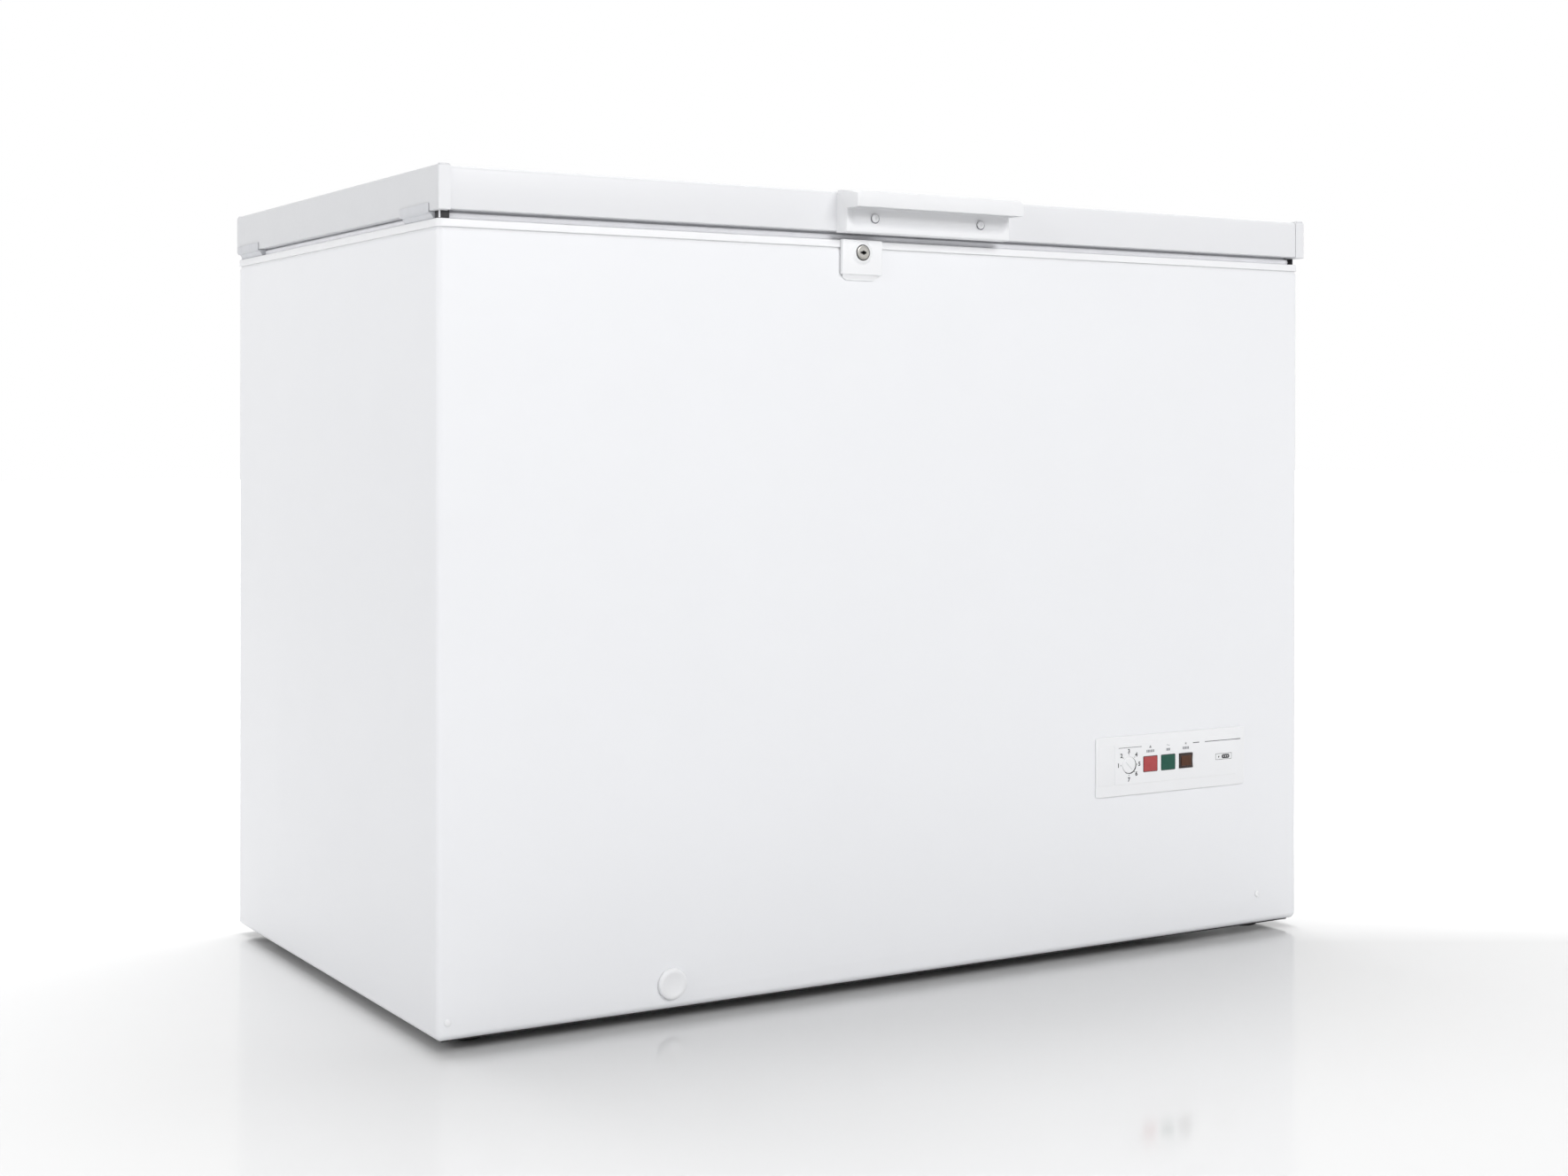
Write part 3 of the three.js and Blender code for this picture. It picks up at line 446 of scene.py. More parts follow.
def stucco(name, color):
    """Painted sheet embossed with small pebbles."""
    g = Graph(name)
    pebbles = g.cells(150, "SMOOTH_F1")
    drift = g.noise(5)
    tone = g.span(g.add(drift, pebbles, -0.25), 0, 1)
    return g.finish({
        "Base Color": g.blend(tone, shade(color, 0.96), color),
        "Roughness": g.span(drift, 0.3, 0.42),
        "Normal": g.bump(pebbles, 0.45, 0.0005),
    })


def spangled(name, color):
    """Hot-dip galvanised sheet with its crystals."""
    g = Graph(name)
    tone = g.node("SeparateColor", {"Color": g.cells(105, output="Color")}, "Red")
    return g.finish({
        "Base Color": g.blend(tone, shade(color, 0.90), color),
        "Roughness": g.span(tone, 0.38, 0.48, 0, 1),
        "Metallic": 0.85,
        "Normal": g.bump(g.noise(260), 0.15, 0.00005),
    })


def foamed(name):
    """Yellowish rigid foam with open cells."""
    g = Graph(name)
    tone = g.span(g.noise(30, 5.0), 0, 1)
    return g.finish({
        "Base Color": g.blend(tone, (0.72, 0.60, 0.33), (0.83, 0.73, 0.47)),
        "Roughness": 0.95,
        "Normal": g.bump(g.cells(420), 0.8, 0.0008),
    })


def lens(name, dark, light):
    """Tinted moulded lens with fine prisms behind its face."""
    g = Graph(name)
    prisms = g.node("TexWave", {"Vector": g.coords, "Scale": 260, "Distortion": 0.0}, "Fac")
    blotch = g.span(g.add(prisms, g.noise(180), 0.8), 0, 1, 0.2, 1.4)
    return g.finish({
        "Base Color": g.blend(blotch, dark, light),
        "Roughness": 0.3,
        "Specular IOR Level": 0.3,
        "Normal": g.bump(prisms, 0.12, 0.0001),
    })


GLOSSY = dict(mottle=0.006, scale=3.0, grain=900.0, relief=0.00003, strength=0.12, specular=0.45)
MOULDED = dict(mottle=0.008, scale=20.0, grain=2600.0, strength=0.2, specular=0.4)
# name, colour, roughness, how much the colour drifts, and the scale of that drift
PAINT = surface("white_enamel_paint", (0.850, 0.858, 0.880), 0.34, **GLOSSY)
PLASTIC = surface("white_moulded_plastic", (0.855, 0.860, 0.875), 0.42, **MOULDED)
LINER_PAINT = stucco("stucco_liner_sheet", (0.84, 0.85, 0.86))
# The lid's enamel is a darker copy of the cabinet's, painted shade.
LID_SHADED_PAINT = surface("lid_enamel_painted_shade", (0.780, 0.785, 0.805), 0.34, **GLOSSY)
# The grip's plastic is a slightly darker copy of the white plastic, painted shade.
GRIP_SHADED_PLASTIC = surface("grip_plastic_painted_shade", (0.840, 0.845, 0.860), 0.42, **MOULDED)
# The end trims' plastic is a darker copy of the white plastic, painted shade on the lid's ends.
END_SHADE_PLASTIC = surface("lid_end_painted_shade", (0.700, 0.707, 0.725), 0.42, **MOULDED)
TRAY_PLASTIC = surface("lid_lining_plastic", (0.84, 0.845, 0.855), 0.38, 0.01, 12.0, grain=1800.0,
                       specular=0.4)
GASKET = surface("gasket_rubber", (0.88, 0.88, 0.91), 0.62, 0.03, 40.0)
# The fold's rubber is a darker copy of the gasket's, painted shade.
SHADED_FOLD = surface("gasket_fold_painted_shade", (0.62, 0.62, 0.65), 0.7, 0.05, 60.0)
GALVANISED = spangled("galvanised_sheet", (0.66, 0.68, 0.69))
ZINC = surface("zinc_plated_steel", (0.68, 0.69, 0.70), 0.3, 0.06, 35.0, metal=0.95, grain=900.0,
               relief=0.00003, stretch=(1, 1, 6))
SPRING = surface("oiled_spring_wire", (0.30, 0.31, 0.33), 0.32, 0.12, 160.0, metal=0.9)
COPPER = surface("drawn_copper", (0.78, 0.42, 0.28), 0.3, 0.14, 45.0, metal=1.0)
ENAMEL = surface("black_enamel", (0.018, 0.018, 0.02), 0.3, 0.15, 25.0, grain=500.0,
                 relief=0.00008, coat=0.3)
RUBBER = surface("black_rubber", (0.02, 0.02, 0.021), 0.8, 0.2, 60.0, specular=0.3)
# Black plastic, used also for dark pieces that are painted shadow.
BLACK_PLASTIC_AND_SHADOW = surface("black_plastic", (0.028, 0.028, 0.03), 0.5, 0.12, 40.0, grain=1800.0,
                        strength=0.4)
SPACER = surface("spacer_plastic", (0.62, 0.63, 0.66), 0.45, 0.04, 50.0)
NICKEL = surface("brushed_nickel", (0.40, 0.39, 0.37), 0.34, 0.05, 220.0, metal=1.0, grain=1500.0,
                 relief=0.00004, stretch=(1, 1, 8))
SCREW_CAP = surface("screw_cap_plastic", (0.80, 0.805, 0.82), 0.3, 0.03, 90.0)
RED = lens("red_lens", (0.35, 0.045, 0.050), (0.47, 0.085, 0.085))
GREEN = lens("green_lens", (0.006, 0.060, 0.042), (0.018, 0.105, 0.072))
BROWN = lens("amber_rocker", (0.050, 0.018, 0.008), (0.100, 0.038, 0.018))
BROWN_RIM = surface("rocker_rim", (0.022, 0.010, 0.007), 0.45, 0.1, 80.0)
PRINT = surface("panel_print", (0.05, 0.05, 0.055), 0.55, 0.1, 300.0)
# Grey print, used also for the painted shadows behind the grip's screw caps.
GREY_PRINT_AND_SHADOW = surface("panel_print_and_shadow_grey", (0.20, 0.20, 0.22), 0.55, 0.1, 300.0)
PRINT_WHITE = surface("panel_print_white", (0.85, 0.85, 0.86), 0.55, 0.03, 300.0)
FOAM = foamed("rigid_foam")
WIRE = surface("coated_wire", (0.80, 0.80, 0.78), 0.28, 0.02, 50.0, coat=0.2)
WHITE = ("cabinet", PLASTIC, "trim_white")  # body, material and slot of the fixed white mouldings
# black parts, and the black pieces that stand in for painted shadows
BLACK_AND_SHADOW = ("cabinet", BLACK_PLASTIC_AND_SHADOW, "black_plastic")


# ---- cabinet
def cabinet_shell():
    """Painted wrapper: front and sides in one sheet, turned under at the foot and in at the back."""
    rear, base, top = CAB_HIGH.y, CAB_LOW.z, CAB_HIGH.z
    foot, flange = 9, 40
    profile = [(24, base)] + arc(foot, base + foot, foot, 270, 180, 8)
    profile += [(0, base + 40), (0, base + 300), (0, base + 560), (0, top)]

    def strip(inset, z):
        radius = max(EDGE - inset, 0.4)
        x = SIDE - inset
        near = FRONT + inset + radius
        outline = [(-SIDE + flange, rear)]
        for sign, y, start in ((-1, rear - radius, 90), (-1, near, 180), (1, near, 270),
                               (1, rear - radius, 0)):
            outline += arc(sign * (x - radius), y, radius, start, start + 90, 8)
        outline.append((SIDE - flange, rear))
        return [(px, py, z) for px, py in outline]

    obj = lofted("cabinet_shell", [strip(inset, z) for inset, z in profile], sheet=True)
    solidified(obj, 0.9)
    low, high = box_mm("control_panel")
    window = block("cut_window", low.x + 7, high.x - 7, FRONT - 3, FRONT + 3, low.z + 6, high.z - 6)
    carve(obj, rod("cut_drain", 9.6, -5, 5, DRAIN, sides=32), window)
    place(obj, "cabinet", PAINT, "cabinet_white", "cabinet_wrapper")
    # The black strip under the wrapper's foot is a dark piece that stands in for the painted shadow in
    # the gap under the cabinet.
    edge = ring_round("base_edge", [
        (9.2, -1.8), (9.0, -1.6), (9.0, 0.2), (20, 0.2), (20, -1.6), (19.8, -1.8),
    ], base)
    place(edge, *BLACK_AND_SHADOW)


def collar():
    """Moulded top frame: an outer lip over the sheet, a flat top and a ledge for the basket."""
    proud = SIDE - COLLAR_HIGH.x
    top = COLLAR_HIGH.z
    low, lip = COLLAR_LOW.z - top, -8.4
    profile = [
        (proud + 0.4, lip), (proud, lip + 0.5), (proud, -1.6), (proud + 0.5, -0.5), (proud + 1.6, 0),
        (3.6, 0), (4.2, -0.5), (8.4, -0.5), (9.0, 0), (27, 0), (27.8, -0.4), (41, -0.4), (43.6, 0),
        (44.6, -0.4), (45, -1.4), (45.1, -10.6), (45.6, -11.7), (46.6, -12), (59, -12.1),
        (59.8, -12.6), (60, low), (42.4, low), (42, -3.2), (3.5, -3.2), (3.5, low), (1.5, low),
        (1.5, lip),
    ]

    def outline(inset):
        return plan(inset, 14 if inset > 40 else max(EDGE - inset, 2.5))

    obj = ring_round("collar_frame", profile, top, outline)
    place(obj, *WHITE, "top_collar")


def liner():
    """Embossed inner tank with a step over the compressor, all its corners rounded."""
    x0, x1 = LINER_LOW.x + 1.5, LINER_HIGH.x - 1.5
    y0, y1 = LINER_LOW.y + 1.5, LINER_HIGH.y - 1.5
    step_x, step_z = 175.0, 345.0
    top = LINER_HIGH.z
    profile = [(x0, top), (x0, TANK_FLOOR), (step_x, TANK_FLOOR), (step_x, step_z), (x1, step_z),
               (x1, top)]
    mesh = bpy.data.meshes.new("liner_tank")
    verts = [Vector((x, y, z)) * MM for y in (y0, y1) for x, z in profile]
    count = len(profile)
    faces = [(k, k + 1, count + k + 1, count + k) for k in range(count - 1)]
    mesh.from_pydata(verts, [], faces + [tuple(range(count)), tuple(range(count, 2 * count))])
    edited(mesh, face_outwards, lambda bm: bmesh.ops.bevel(
        bm, geom=[edge for edge in bm.edges if len(edge.link_faces) == 2], offset=13 * MM,
        segments=6, profile=0.5, affect="EDGES", clamp_overlap=True))
    obj = finished("liner_tank", mesh)
    centre = Vector(((x0 + x1) / 2, (y0 + y1) / 2, top)) * MM
    face = max(obj.data.polygons, key=lambda p: p.area)
    outwards = face.normal.dot(face.center - centre) > 0
    solidified(obj, 1.4, offset=1 if outwards else -1)
    carve(obj, rod("cut_floor_drain", 9.5, -20, 20, (DRAIN[0], FRONT + 100, TANK_FLOOR), axis="z",
                   sides=32))
    place(obj, "cabinet", LINER_PAINT, "liner_white", "inner_liner")


def drain():
    """Pipe to the front with its flanged mouth in the tank's floor, and the cap over its end."""
    refined("drain_tube", *WHITE, 0.3, name="drain_pipe")
    turned(
        WHITE, "drain_mouth",
        [(7.2, 0.2), (14.5, 0.2), (15.5, 0.7), (15, 1.3), (9, 1.7), (7.6, 1.2), (7.2, 0.2)],
        (DRAIN[0], FRONT + 100, TANK_FLOOR), axis="z",
    )
    turned(
        ("drain_plug", PLASTIC, "trim_white", "drain_cap"), "drain_stopper",
        [(0, 13.5), (5.4, 13.5), (5.8, 12.8), (5.8, -0.4), (16.6, -0.4), (17, -0.9), (17, -3.0),
         (16.4, -4.2), (15.2, -4.9), (13.6, -5.2), (11.8, -5.2), (10.8, -4.7), (0, -4.6)],
        DRAIN, sides=64, crease=50,
    )


def rivets():
    profile = [(0, 5), (1.8, 5), (1.8, -0.3), (3.9, -0.3), (4.0, -0.5), (3.4, -1.1), (2.2, -1.6),
               (0, -1.8)]
    for side, _ in SIDES:
        node = "front_rivet_" + side
        turned((*WHITE, node), "rivet_" + side, profile, middle(node, y=FRONT), sides=32, crease=60)


def feet():
    profile = [(0, 0), (18.5, 0), (19.5, 0.4), (21.6, 2.2), (21.8, 3), (20, 6.8), (17, 8), (16, 9),
               (16, 11), (0, 11)]
    for corner, _, _ in CORNERS:
        node = "foot_" + corner
        turned((*BLACK_AND_SHADOW, node), "stand_" + corner, profile, middle(node, z=0), axis="z", crease=45)


# ---- control panel
def bar(x0, x1, z, width):
    return rectangle(x0, x1, z - width / 2, z + width / 2)


def disc(x, z, r, sides=20):
    return arc(x, z, r, 0, 360 * (sides - 1) / sides, sides - 1)


def star(x, z, r, points=6, waist=0.42):
    outline = []
    for i in range(2 * points):
        angle = pi / 2 + pi * i / points
        size = r if i % 2 == 0 else r * waist
        outline.append((x + size * cos(angle), z + size * sin(angle)))
    return outline


def numeral(text, x, z, size, y):
    """A raised figure of the dial's scale."""
    name = "numeral_" + text
    curve = assign(bpy.data.curves.new(name, "FONT"), body=text, size=size * MM, extrude=0.03 * MM,
                   offset=0.26 * MM, align_x="CENTER", align_y="CENTER", resolution_u=4)
    obj = linked(name, curve)
    bpy.context.view_layer.update()
    graph = bpy.context.evaluated_depsgraph_get()
    mesh = bpy.data.meshes.new_from_object(obj.evaluated_get(graph))
    bpy.data.objects.remove(obj)
    mesh.transform(Matrix.Translation(Vector((x, y, z)) * MM) @ Matrix.Rotation(radians(90), 4, "X"))
    return linked("dial_number_" + text, mesh)


def control_panel():
    low, high = box_mm("control_panel")
    left, right, bottom, top = low.x, high.x, low.z, high.z
    raised, face = low.y, low.y + 0.5
    dial_x, _, dial_z = middle("thermostat_knob")
    dial_r = 10.0
    plate = slab_y("panel_plate", rounded(left, right, bottom, top, 3), face, FRONT + 0.3, 1.1)
    small = slab_y(
        "panel_field_small", rounded(left + 3.5, left + 27, bottom + 13.5, top - 9.4, 1.2),
        raised + 0.1, face + 0.5, 0.3,
    )
    wide = slab_y(
        "panel_field_wide", rounded(left + 28.6, right - 14, bottom + 13.5, top - 9.4, 1.6),
        raised, face + 0.5, 0.4,
    )
    for part in (plate, wide):
        spot = (dial_x + 0.3, FRONT - 1, dial_z - 0.4)
        cutters = [rod("cut_dial", dial_r + 0.5, -6, 6, spot, sides=48)]
        for node, clear in (("alarm_lamp", 0.3), ("power_lamp", 0.3), ("super_switch", 0.6)):
            a, b = box_mm(node)
            cutters.append(block("cut_" + node, a.x - clear, b.x + clear, FRONT - 8, FRONT + 4,
                                 a.z - clear, b.z + clear))
        carve(part, *cutters)
    tub = clean_copy("control_panel", "panel_tub")
    carve(tub, block("cut_front", left - 5, right + 5, FRONT - 10, FRONT - 0.5, bottom - 5, top + 5))
    place(plate, *WHITE, "control_panel")
    for part in (tub, small, wide):
        place(part, *WHITE)
    # A black ring set low and to the right of the knob, a painted shadow that shows as a dark crescent
    # round its lower right.
    shadow_r = dial_r + 0.1
    turned(BLACK_AND_SHADOW, "dial_well", [(3.4, 0), (shadow_r, 0), (shadow_r, 2), (3.4, 2), (3.4, 0)],
           (dial_x + 1.3, raised - 0.05, dial_z - 0.8), sides=64)
    printing(raised, dial_x, dial_z)
    dial(dial_x, dial_z, dial_r)
    lamps()


def print_on(name, shapes, y, material, slot="black_plastic"):
    """Flat (x, z) shapes as one thin print on the panel."""
    parts = [loft([[(x, depth, z) for x, z in shape] for depth in (y + 0.03, y - 0.06)])
             for shape in shapes]
    place(together(name, parts), "cabinet", material, slot)


def printing(y, dial_x, dial_z):
    """Numbers, dots, rules and plain signs printed on the panel."""
    shapes = []
    for i in range(7):
        angle = radians(180 - 45 * i)
        dx, dz = cos(angle), sin(angle)
        reach = 18.0 if i == 6 else 16.4
        number = numeral(str(i + 1), dial_x + reach * dx, dial_z + reach * dz, 7.0, y - 0.03)
        place(number, "cabinet", PRINT, "black_plastic")
        shapes.append(disc(dial_x + 12.6 * dx, dial_z + 12.6 * dz, 0.6, 12))
    alarm_x, power_x, super_x = [middle(n)[0] for n in ("alarm_lamp", "power_lamp", "super_switch")]
    lamp_z = middle("alarm_lamp")[2]
    sign_z = lamp_z + 21
    shapes += [
        bar(dial_x - 16, dial_x + 20, dial_z + 21.1, 0.55),
        bar(super_x + 11.6, super_x + 21.6, sign_z, 0.9),
        bar(super_x + 31, super_x + 89.6, sign_z, 0.8),
    ]
    x, z = super_x + 48.6, lamp_z + 0.8
    shapes += [
        bar(x, x + 26.3, z - 3.6, 0.45), bar(x, x + 26.3, z + 3.6, 0.45),
        rectangle(x, x + 0.45, z - 3.6, z + 3.6), rectangle(x + 25.9, x + 26.3, z - 3.6, z + 3.6),
        star(x + 5.2, z - 0.2, 1.7), rounded(x + 10, x + 22.7, z - 2.7, z + 2.4, 2.3, 5),
    ]
    print_on("panel_print_dark", shapes, y, PRINT)
    pale = [star(x + 10 + 3.2 * k, z - 0.15, 1.15) for k in (1, 2, 3)]
    print_on("panel_print_light", pale, y - 0.05, PRINT_WHITE, "trim_white")
    signs = [
        [(alarm_x - 1.9, sign_z - 1.6), (alarm_x + 1.9, sign_z - 1.6), (alarm_x, sign_z + 1.9)],
        bar(power_x - 2.2, power_x - 0.3, sign_z + 0.3, 0.6),
        bar(power_x + 0.3, power_x + 2.2, sign_z - 0.3, 0.6),
        star(super_x, sign_z, 2.3, waist=0.25),
    ]
    for x, strokes in ((alarm_x, 6), (power_x, 3), (super_x, 5)):
        for k in range(strokes):
            left = x + (k - strokes / 2) * 2.1
            signs.append(bar(left + 0.35, left + 1.75, sign_z - 5.4, 3.2))
    print_on("panel_signs", signs, y, GREY_PRINT_AND_SHADOW)


def dial(x, z, r):
    """Round knob with a grip line, turned to its second mark."""
    low, _ = box_mm("thermostat_knob")
    face = low.y + 2.6 - FRONT
    knob = lathe(
        "dial_disc",
        [(0, 12), (2.8, 12), (2.8, -0.4), (r, -0.4), (r, face + 0.9), (r - 0.3, face + 0.3),
         (r - 1.0, face), (r - 3, face + 0.1), (0, face + 0.25)],
        (x, FRONT, z), sides=64, crease=40,
    )
    grip = block("dial_grip", -1.5, 1.5, low.y + 1.7, low.y + 3.4, -r + 2.2, r - 2.2, 0.75)
    grip.data.transform(Matrix.Rotation(radians(-45), 4, "Y"))
    grip.data.transform(Matrix.Translation(Vector((x, 0, z)) * MM))
    whole = joined("dial_knob", knob, grip)
    place(whole, "thermostat_dial", PLASTIC, "trim_white", "thermostat_knob")


def face_of(node, inset, radius):
    """The rounded front outline of a node's box, moved inwards."""
    low, high = box_mm(node)
    return rounded(low.x + inset, high.x - inset, low.z + inset, high.z - inset, radius)


def lamps():
    for node, name, material, slot in (
        ("alarm_lamp", "lamp_red", RED, "red_lens"),
        ("power_lamp", "lamp_green", GREEN, "green_lens"),
    ):
        low, high = box_mm(node)
        body = slab_y(name, face_of(node, 0, 1.2), low.y, high.y, 0.5)
        place(body, "cabinet", material, slot, node)
        lamp_frame(node, name)
    node = "super_switch"
    low, high = box_mm(node)
    outline = [(low.y, high.z), (low.y + 1.3, middle(node)[2]), (low.y, low.z), (high.y, low.z),
               (high.y, high.z)]
    rocker = lofted("rocker_body", [[(x, y, z) for y, z in outline] for x in (low.x, high.x)])
    bevelled(rocker, 0.5, 2)
    place(rocker, "super_rocker", BROWN_RIM, "amber_rocker", node)
    window = slab_y("rocker_window", face_of(node, 2.6, 0.8), low.y - 0.05, low.y + 2.5, 0.5)
    place(window, "super_rocker", BROWN, "amber_rocker")


def lamp_frame(node, name):
    """Dark rim that fills the gap round a lamp."""
    outer, inner = face_of(node, -0.75, 1.4), face_of(node, 0.2, 1.0)
    face = box_mm("control_panel")[0].y - 0.05
    loops = [[(x, y, z) for x, z in outline] for outline, y in
             ((outer, face), (inner, face), (inner, face + 2), (outer, face + 2))]
    rim = lofted(name + "_rim", loops, closed=True)
    place(rim, *BLACK_AND_SHADOW)


# ---- lock
def lock():
    """Housing under the lid's front edge with its foot, its round boss and room for the cam."""
    low, high = box_mm("lock_housing")
    x, _, z = middle("lock_cylinder")
    face, back = FRONT - 6.0, high.y
    bottom, top = low.z + 6.2, high.z
    shell = slab_y("lock_shell", rounded(low.x, high.x, bottom, top, 1.5), face, back, 1.2, 4)
    foot = lofted("lock_foot", [
        [(px, face + 1.6, bottom + 0.5), (px, FRONT - 0.6, low.z + lift), (px, back, low.z + lift),
         (px, back, bottom + 0.5)]
        for px, lift in ((low.x + 2.5, 3.5), (low.x + 8, 0), (high.x - 8, 0), (high.x - 2.5, 3.5))
    ])
    boss = lathe(
        "lock_boss",
        [(9.1, 2), (13.8, 2), (13.8, -0.05), (12.8, -0.5), (12.0, -1.2), (11.4, -2.0), (10.7, -2.4),
         (9.8, -2.4), (9.1, -1.9), (9.1, 2)],
        (x, face, z), sides=64,
    )

    def room(name, left, bottom, top):
        return block(name, x - left, high.x - 0.6, face + 1.3, FRONT + 2, bottom, top)

    carve(shell, room("cut_cam", 11, z - 11, z + 10), room("cut_mouth", 7, z, top + 3),
          rod("cut_bore", 9.3, -10, 3, (x, face, z), sides=48))
    carve(foot, room("cut_foot_cam", 11, z - 11, z + 10))
    place(shell, *WHITE, "lock_housing")
    place(foot, *WHITE)
    place(boss, *WHITE)
    barrel_low, barrel_high = box_mm("lock_cylinder")
    lock_barrel(x, z, barrel_low.y, barrel_high.y)
    refined("lock_cam", "lock_barrel", ZINC, "zinc", 0.3)


def lock_barrel(x, z, front, back):
    r, depth = 8.7, back - front
    turned(
        ("lock_barrel", NICKEL, "nickel", "lock_cylinder"), "lock_barrel_body",
        [(0, depth), (r, depth), (r, 1.6), (r - 0.6, 1.5), (r - 0.7, 0.3), (r - 1.2, 0),
         (r - 1.9, 0), (r - 2.2, 0.35), (r - 2.5, 0.1), (0, 0.1)],
        (x, front, z), sides=64,
    )
    slot = rounded(x - 4, x + 4, z - 1.3, z + 1.3, 0.5, 2)
    dark = joined(
        "keyway",
        slab_y("key_slot", slot, front - 0.03, front + 0.6),
        slab_y("key_bow", disc(x + 0.4, z, 2.4), front - 0.03, front + 0.6),
        lathe("barrel_ring", [(r - 0.9, 1.2), (r + 0.5, 1.2), (r + 0.5, 2.2), (r - 0.9, 2.2)],
              (x, front, z), sides=64),
    )
    place(dark, "lock_barrel", BLACK_PLASTIC_AND_SHADOW, "black_plastic")


# ---- lid
def lid_skin():
    """Painted top sheet, folded down at the front and the back, with a slot for the lock's cam."""
    low, high = LID_LOW, LID_HIGH
    r = 5
    outline = [(low.y + 17, low.z), (low.y + 1.2, low.z)]
    outline += arc(low.y + 1.2, low.z + 1.2, 1.2, 270, 180, 4)[1:]
    outline += arc(low.y + r, high.z - r, r, 180, 90, 8)
    outline += arc(high.y - r, high.z - r, r, 90, 0, 8)
    outline += arc(high.y - 1.2, low.z + 1.2, 1.2, 0, -90, 4)
    outline.append((high.y - 9, low.z))
    stations = [low.x, low.x + 60, -200, 0, 200, high.x - 60, high.x]
    obj = lofted("lid_skin", [[(x, y, z) for y, z in outline] for x in stations], sheet=True)
    solidified(obj, 1.1)
    cam_low, cam_high = box_mm("lock_cam")
    x = middle("lock_cylinder")[0]
    carve(obj, block("cut_slot", x - 8, x + 8, cam_low.y - 1.2, cam_high.y + 1.2,
                     low.z - 2, low.z + 3))
    place(obj, "lid", LID_SHADED_PAINT, "cabinet_white", "lid_top_panel")


def lid_trim(side, sign):
    """End moulding that wraps round the lid, with raised ears at its corners and tabs below."""
    x0, y0, z0 = TRIM_LOW
    x1, y1, z1 = TRIM_HIGH
    main = z1 - 0.9

    def ring(drop, z, ease=0.0):
        radii = [1.6 - ease, 0.6, 0.6, 1.6 - ease]
        return [(x, y, z) for x, y in rounded(x0 + drop, x1, y0 + drop, y1 - drop, radii, 8)]

    shell = lofted("trim_shell", [
        ring(0.9, z0), ring(0.25, z0 + 0.3), ring(0, z0 + 0.9), ring(0, z0 + 14), ring(0, z0 + 30),
        ring(0, main - 3.2), ring(0.4, main - 1.6), ring(1.5, main - 0.4, 0.5), ring(3.0, main, 1.0),
    ], 40)
    carve(shell, block("cut_trim", x0 + 2.2, x1 + 5, y0 + 2.2, y1 - 2.2, z0 + 2.2, main - 2.4))
    parts = [shell]
    for ear, tab in (((y0 + 0.2, y0 + 6), (y0 + 0.1, y0 + 3.2)),
                     ((y1 - 6, y1 - 0.2), (y1 - 3.2, y1 - 0.1))):
        parts.append(block("ear", x0 + 1.6, x1 - 1.2, *ear, main - 4, z1, 1.2))
        parts.append(block("tab", x1 - 3.2, x1 - 0.4, *tab, z0, z0 + 4.5, 0.4))
    whole = joined("lid_end_" + side, *parts)
    face = slab_y("lid_end_face_" + side, rounded(x0 + 0.9, x1 - 0.1, z0 + 0.9, main - 1.6, 0.8),
                  y0 - 0.06, y0 + 0.6, 0.05, 1)
    if sign > 0:
        for obj in (whole, face):
            obj.data.transform(Matrix.Scale(-1, 4, (1, 0, 0)))
            obj.data.flip_normals()
    # The trim's sides take a darker plastic, painted shade, and its front face the lid's darker enamel,
    # also painted shade.
    place(whole, "lid", END_SHADE_PLASTIC, "trim_white", "lid_trim_" + side)
    place(face, "lid", LID_SHADED_PAINT, "trim_white")


def lid_lining():
    """Moulded inner panel that drops into the collar, with a pressed frame."""
    low, high = box_mm("lid_inner_panel")
    rim, foot = high.z, low.z
    under = rim - 2
    profile = [
        (9, rim), (9, under + 0.2), (9.4, under), (43, under), (46, under - 0.4), (49, under - 2.4),
        (50.2, under - 6), (50.6, foot + 2.4), (51.6, foot + 0.7), (54, foot), (74, foot),
        (76.5, foot + 0.4), (78.5, foot + 1.5), (84, foot + 1.5), (86, foot + 0.4), (88.5, foot),
        (150, foot), (260, foot),
    ]
    loops = [[(x, y, z) for x, y in plan(inset, 11 if inset > 44 else 8)] for inset, z in profile]
    place(lofted("lid_lining", loops), "lid", TRAY_PLASTIC, "trim_white", "lid_inner_panel")


def gasket():
    """Bellows seal: a soft tube that meets the collar and a fold above it, painted a darker grey as the
    shade in the gap under the lid.
    """
    low, high = box_mm("lid_gasket")
    base, top = low.z, high.z - low.z
    tube_profile = [
        (7.7, 0), (6.3, 0.5), (5.6, 1.8), (5.5, 3.8), (6.1, 5.6), (7.5, 6.5), (22, 6.6), (24, 5.8),
        (24.8, 3), (24.6, 1), (23.4, 0),
    ]
    fold_profile = [
        (14, 6.4), (8.7, 6.9), (8.5, 7.3), (9.3, 7.8), (8.5, 8.3), (8.7, top), (24.6, top), (24.6, 6.4),
    ]

    def outline(inset):
        return plan(inset, 12)

    soft = ring_round("gasket_tube", tube_profile, base, outline)
    place(soft, "lid", GASKET, "gasket_grey", "lid_gasket")
    fold = ring_round("gasket_fold", fold_profile, base, outline)
    place(fold, "lid", SHADED_FOLD, "gasket_grey")


def lid_spacers():
    for corner, _, _ in CORNERS:
        refined("lid_spacer_" + corner, "lid", SPACER, "spacer_grey", 0.35)


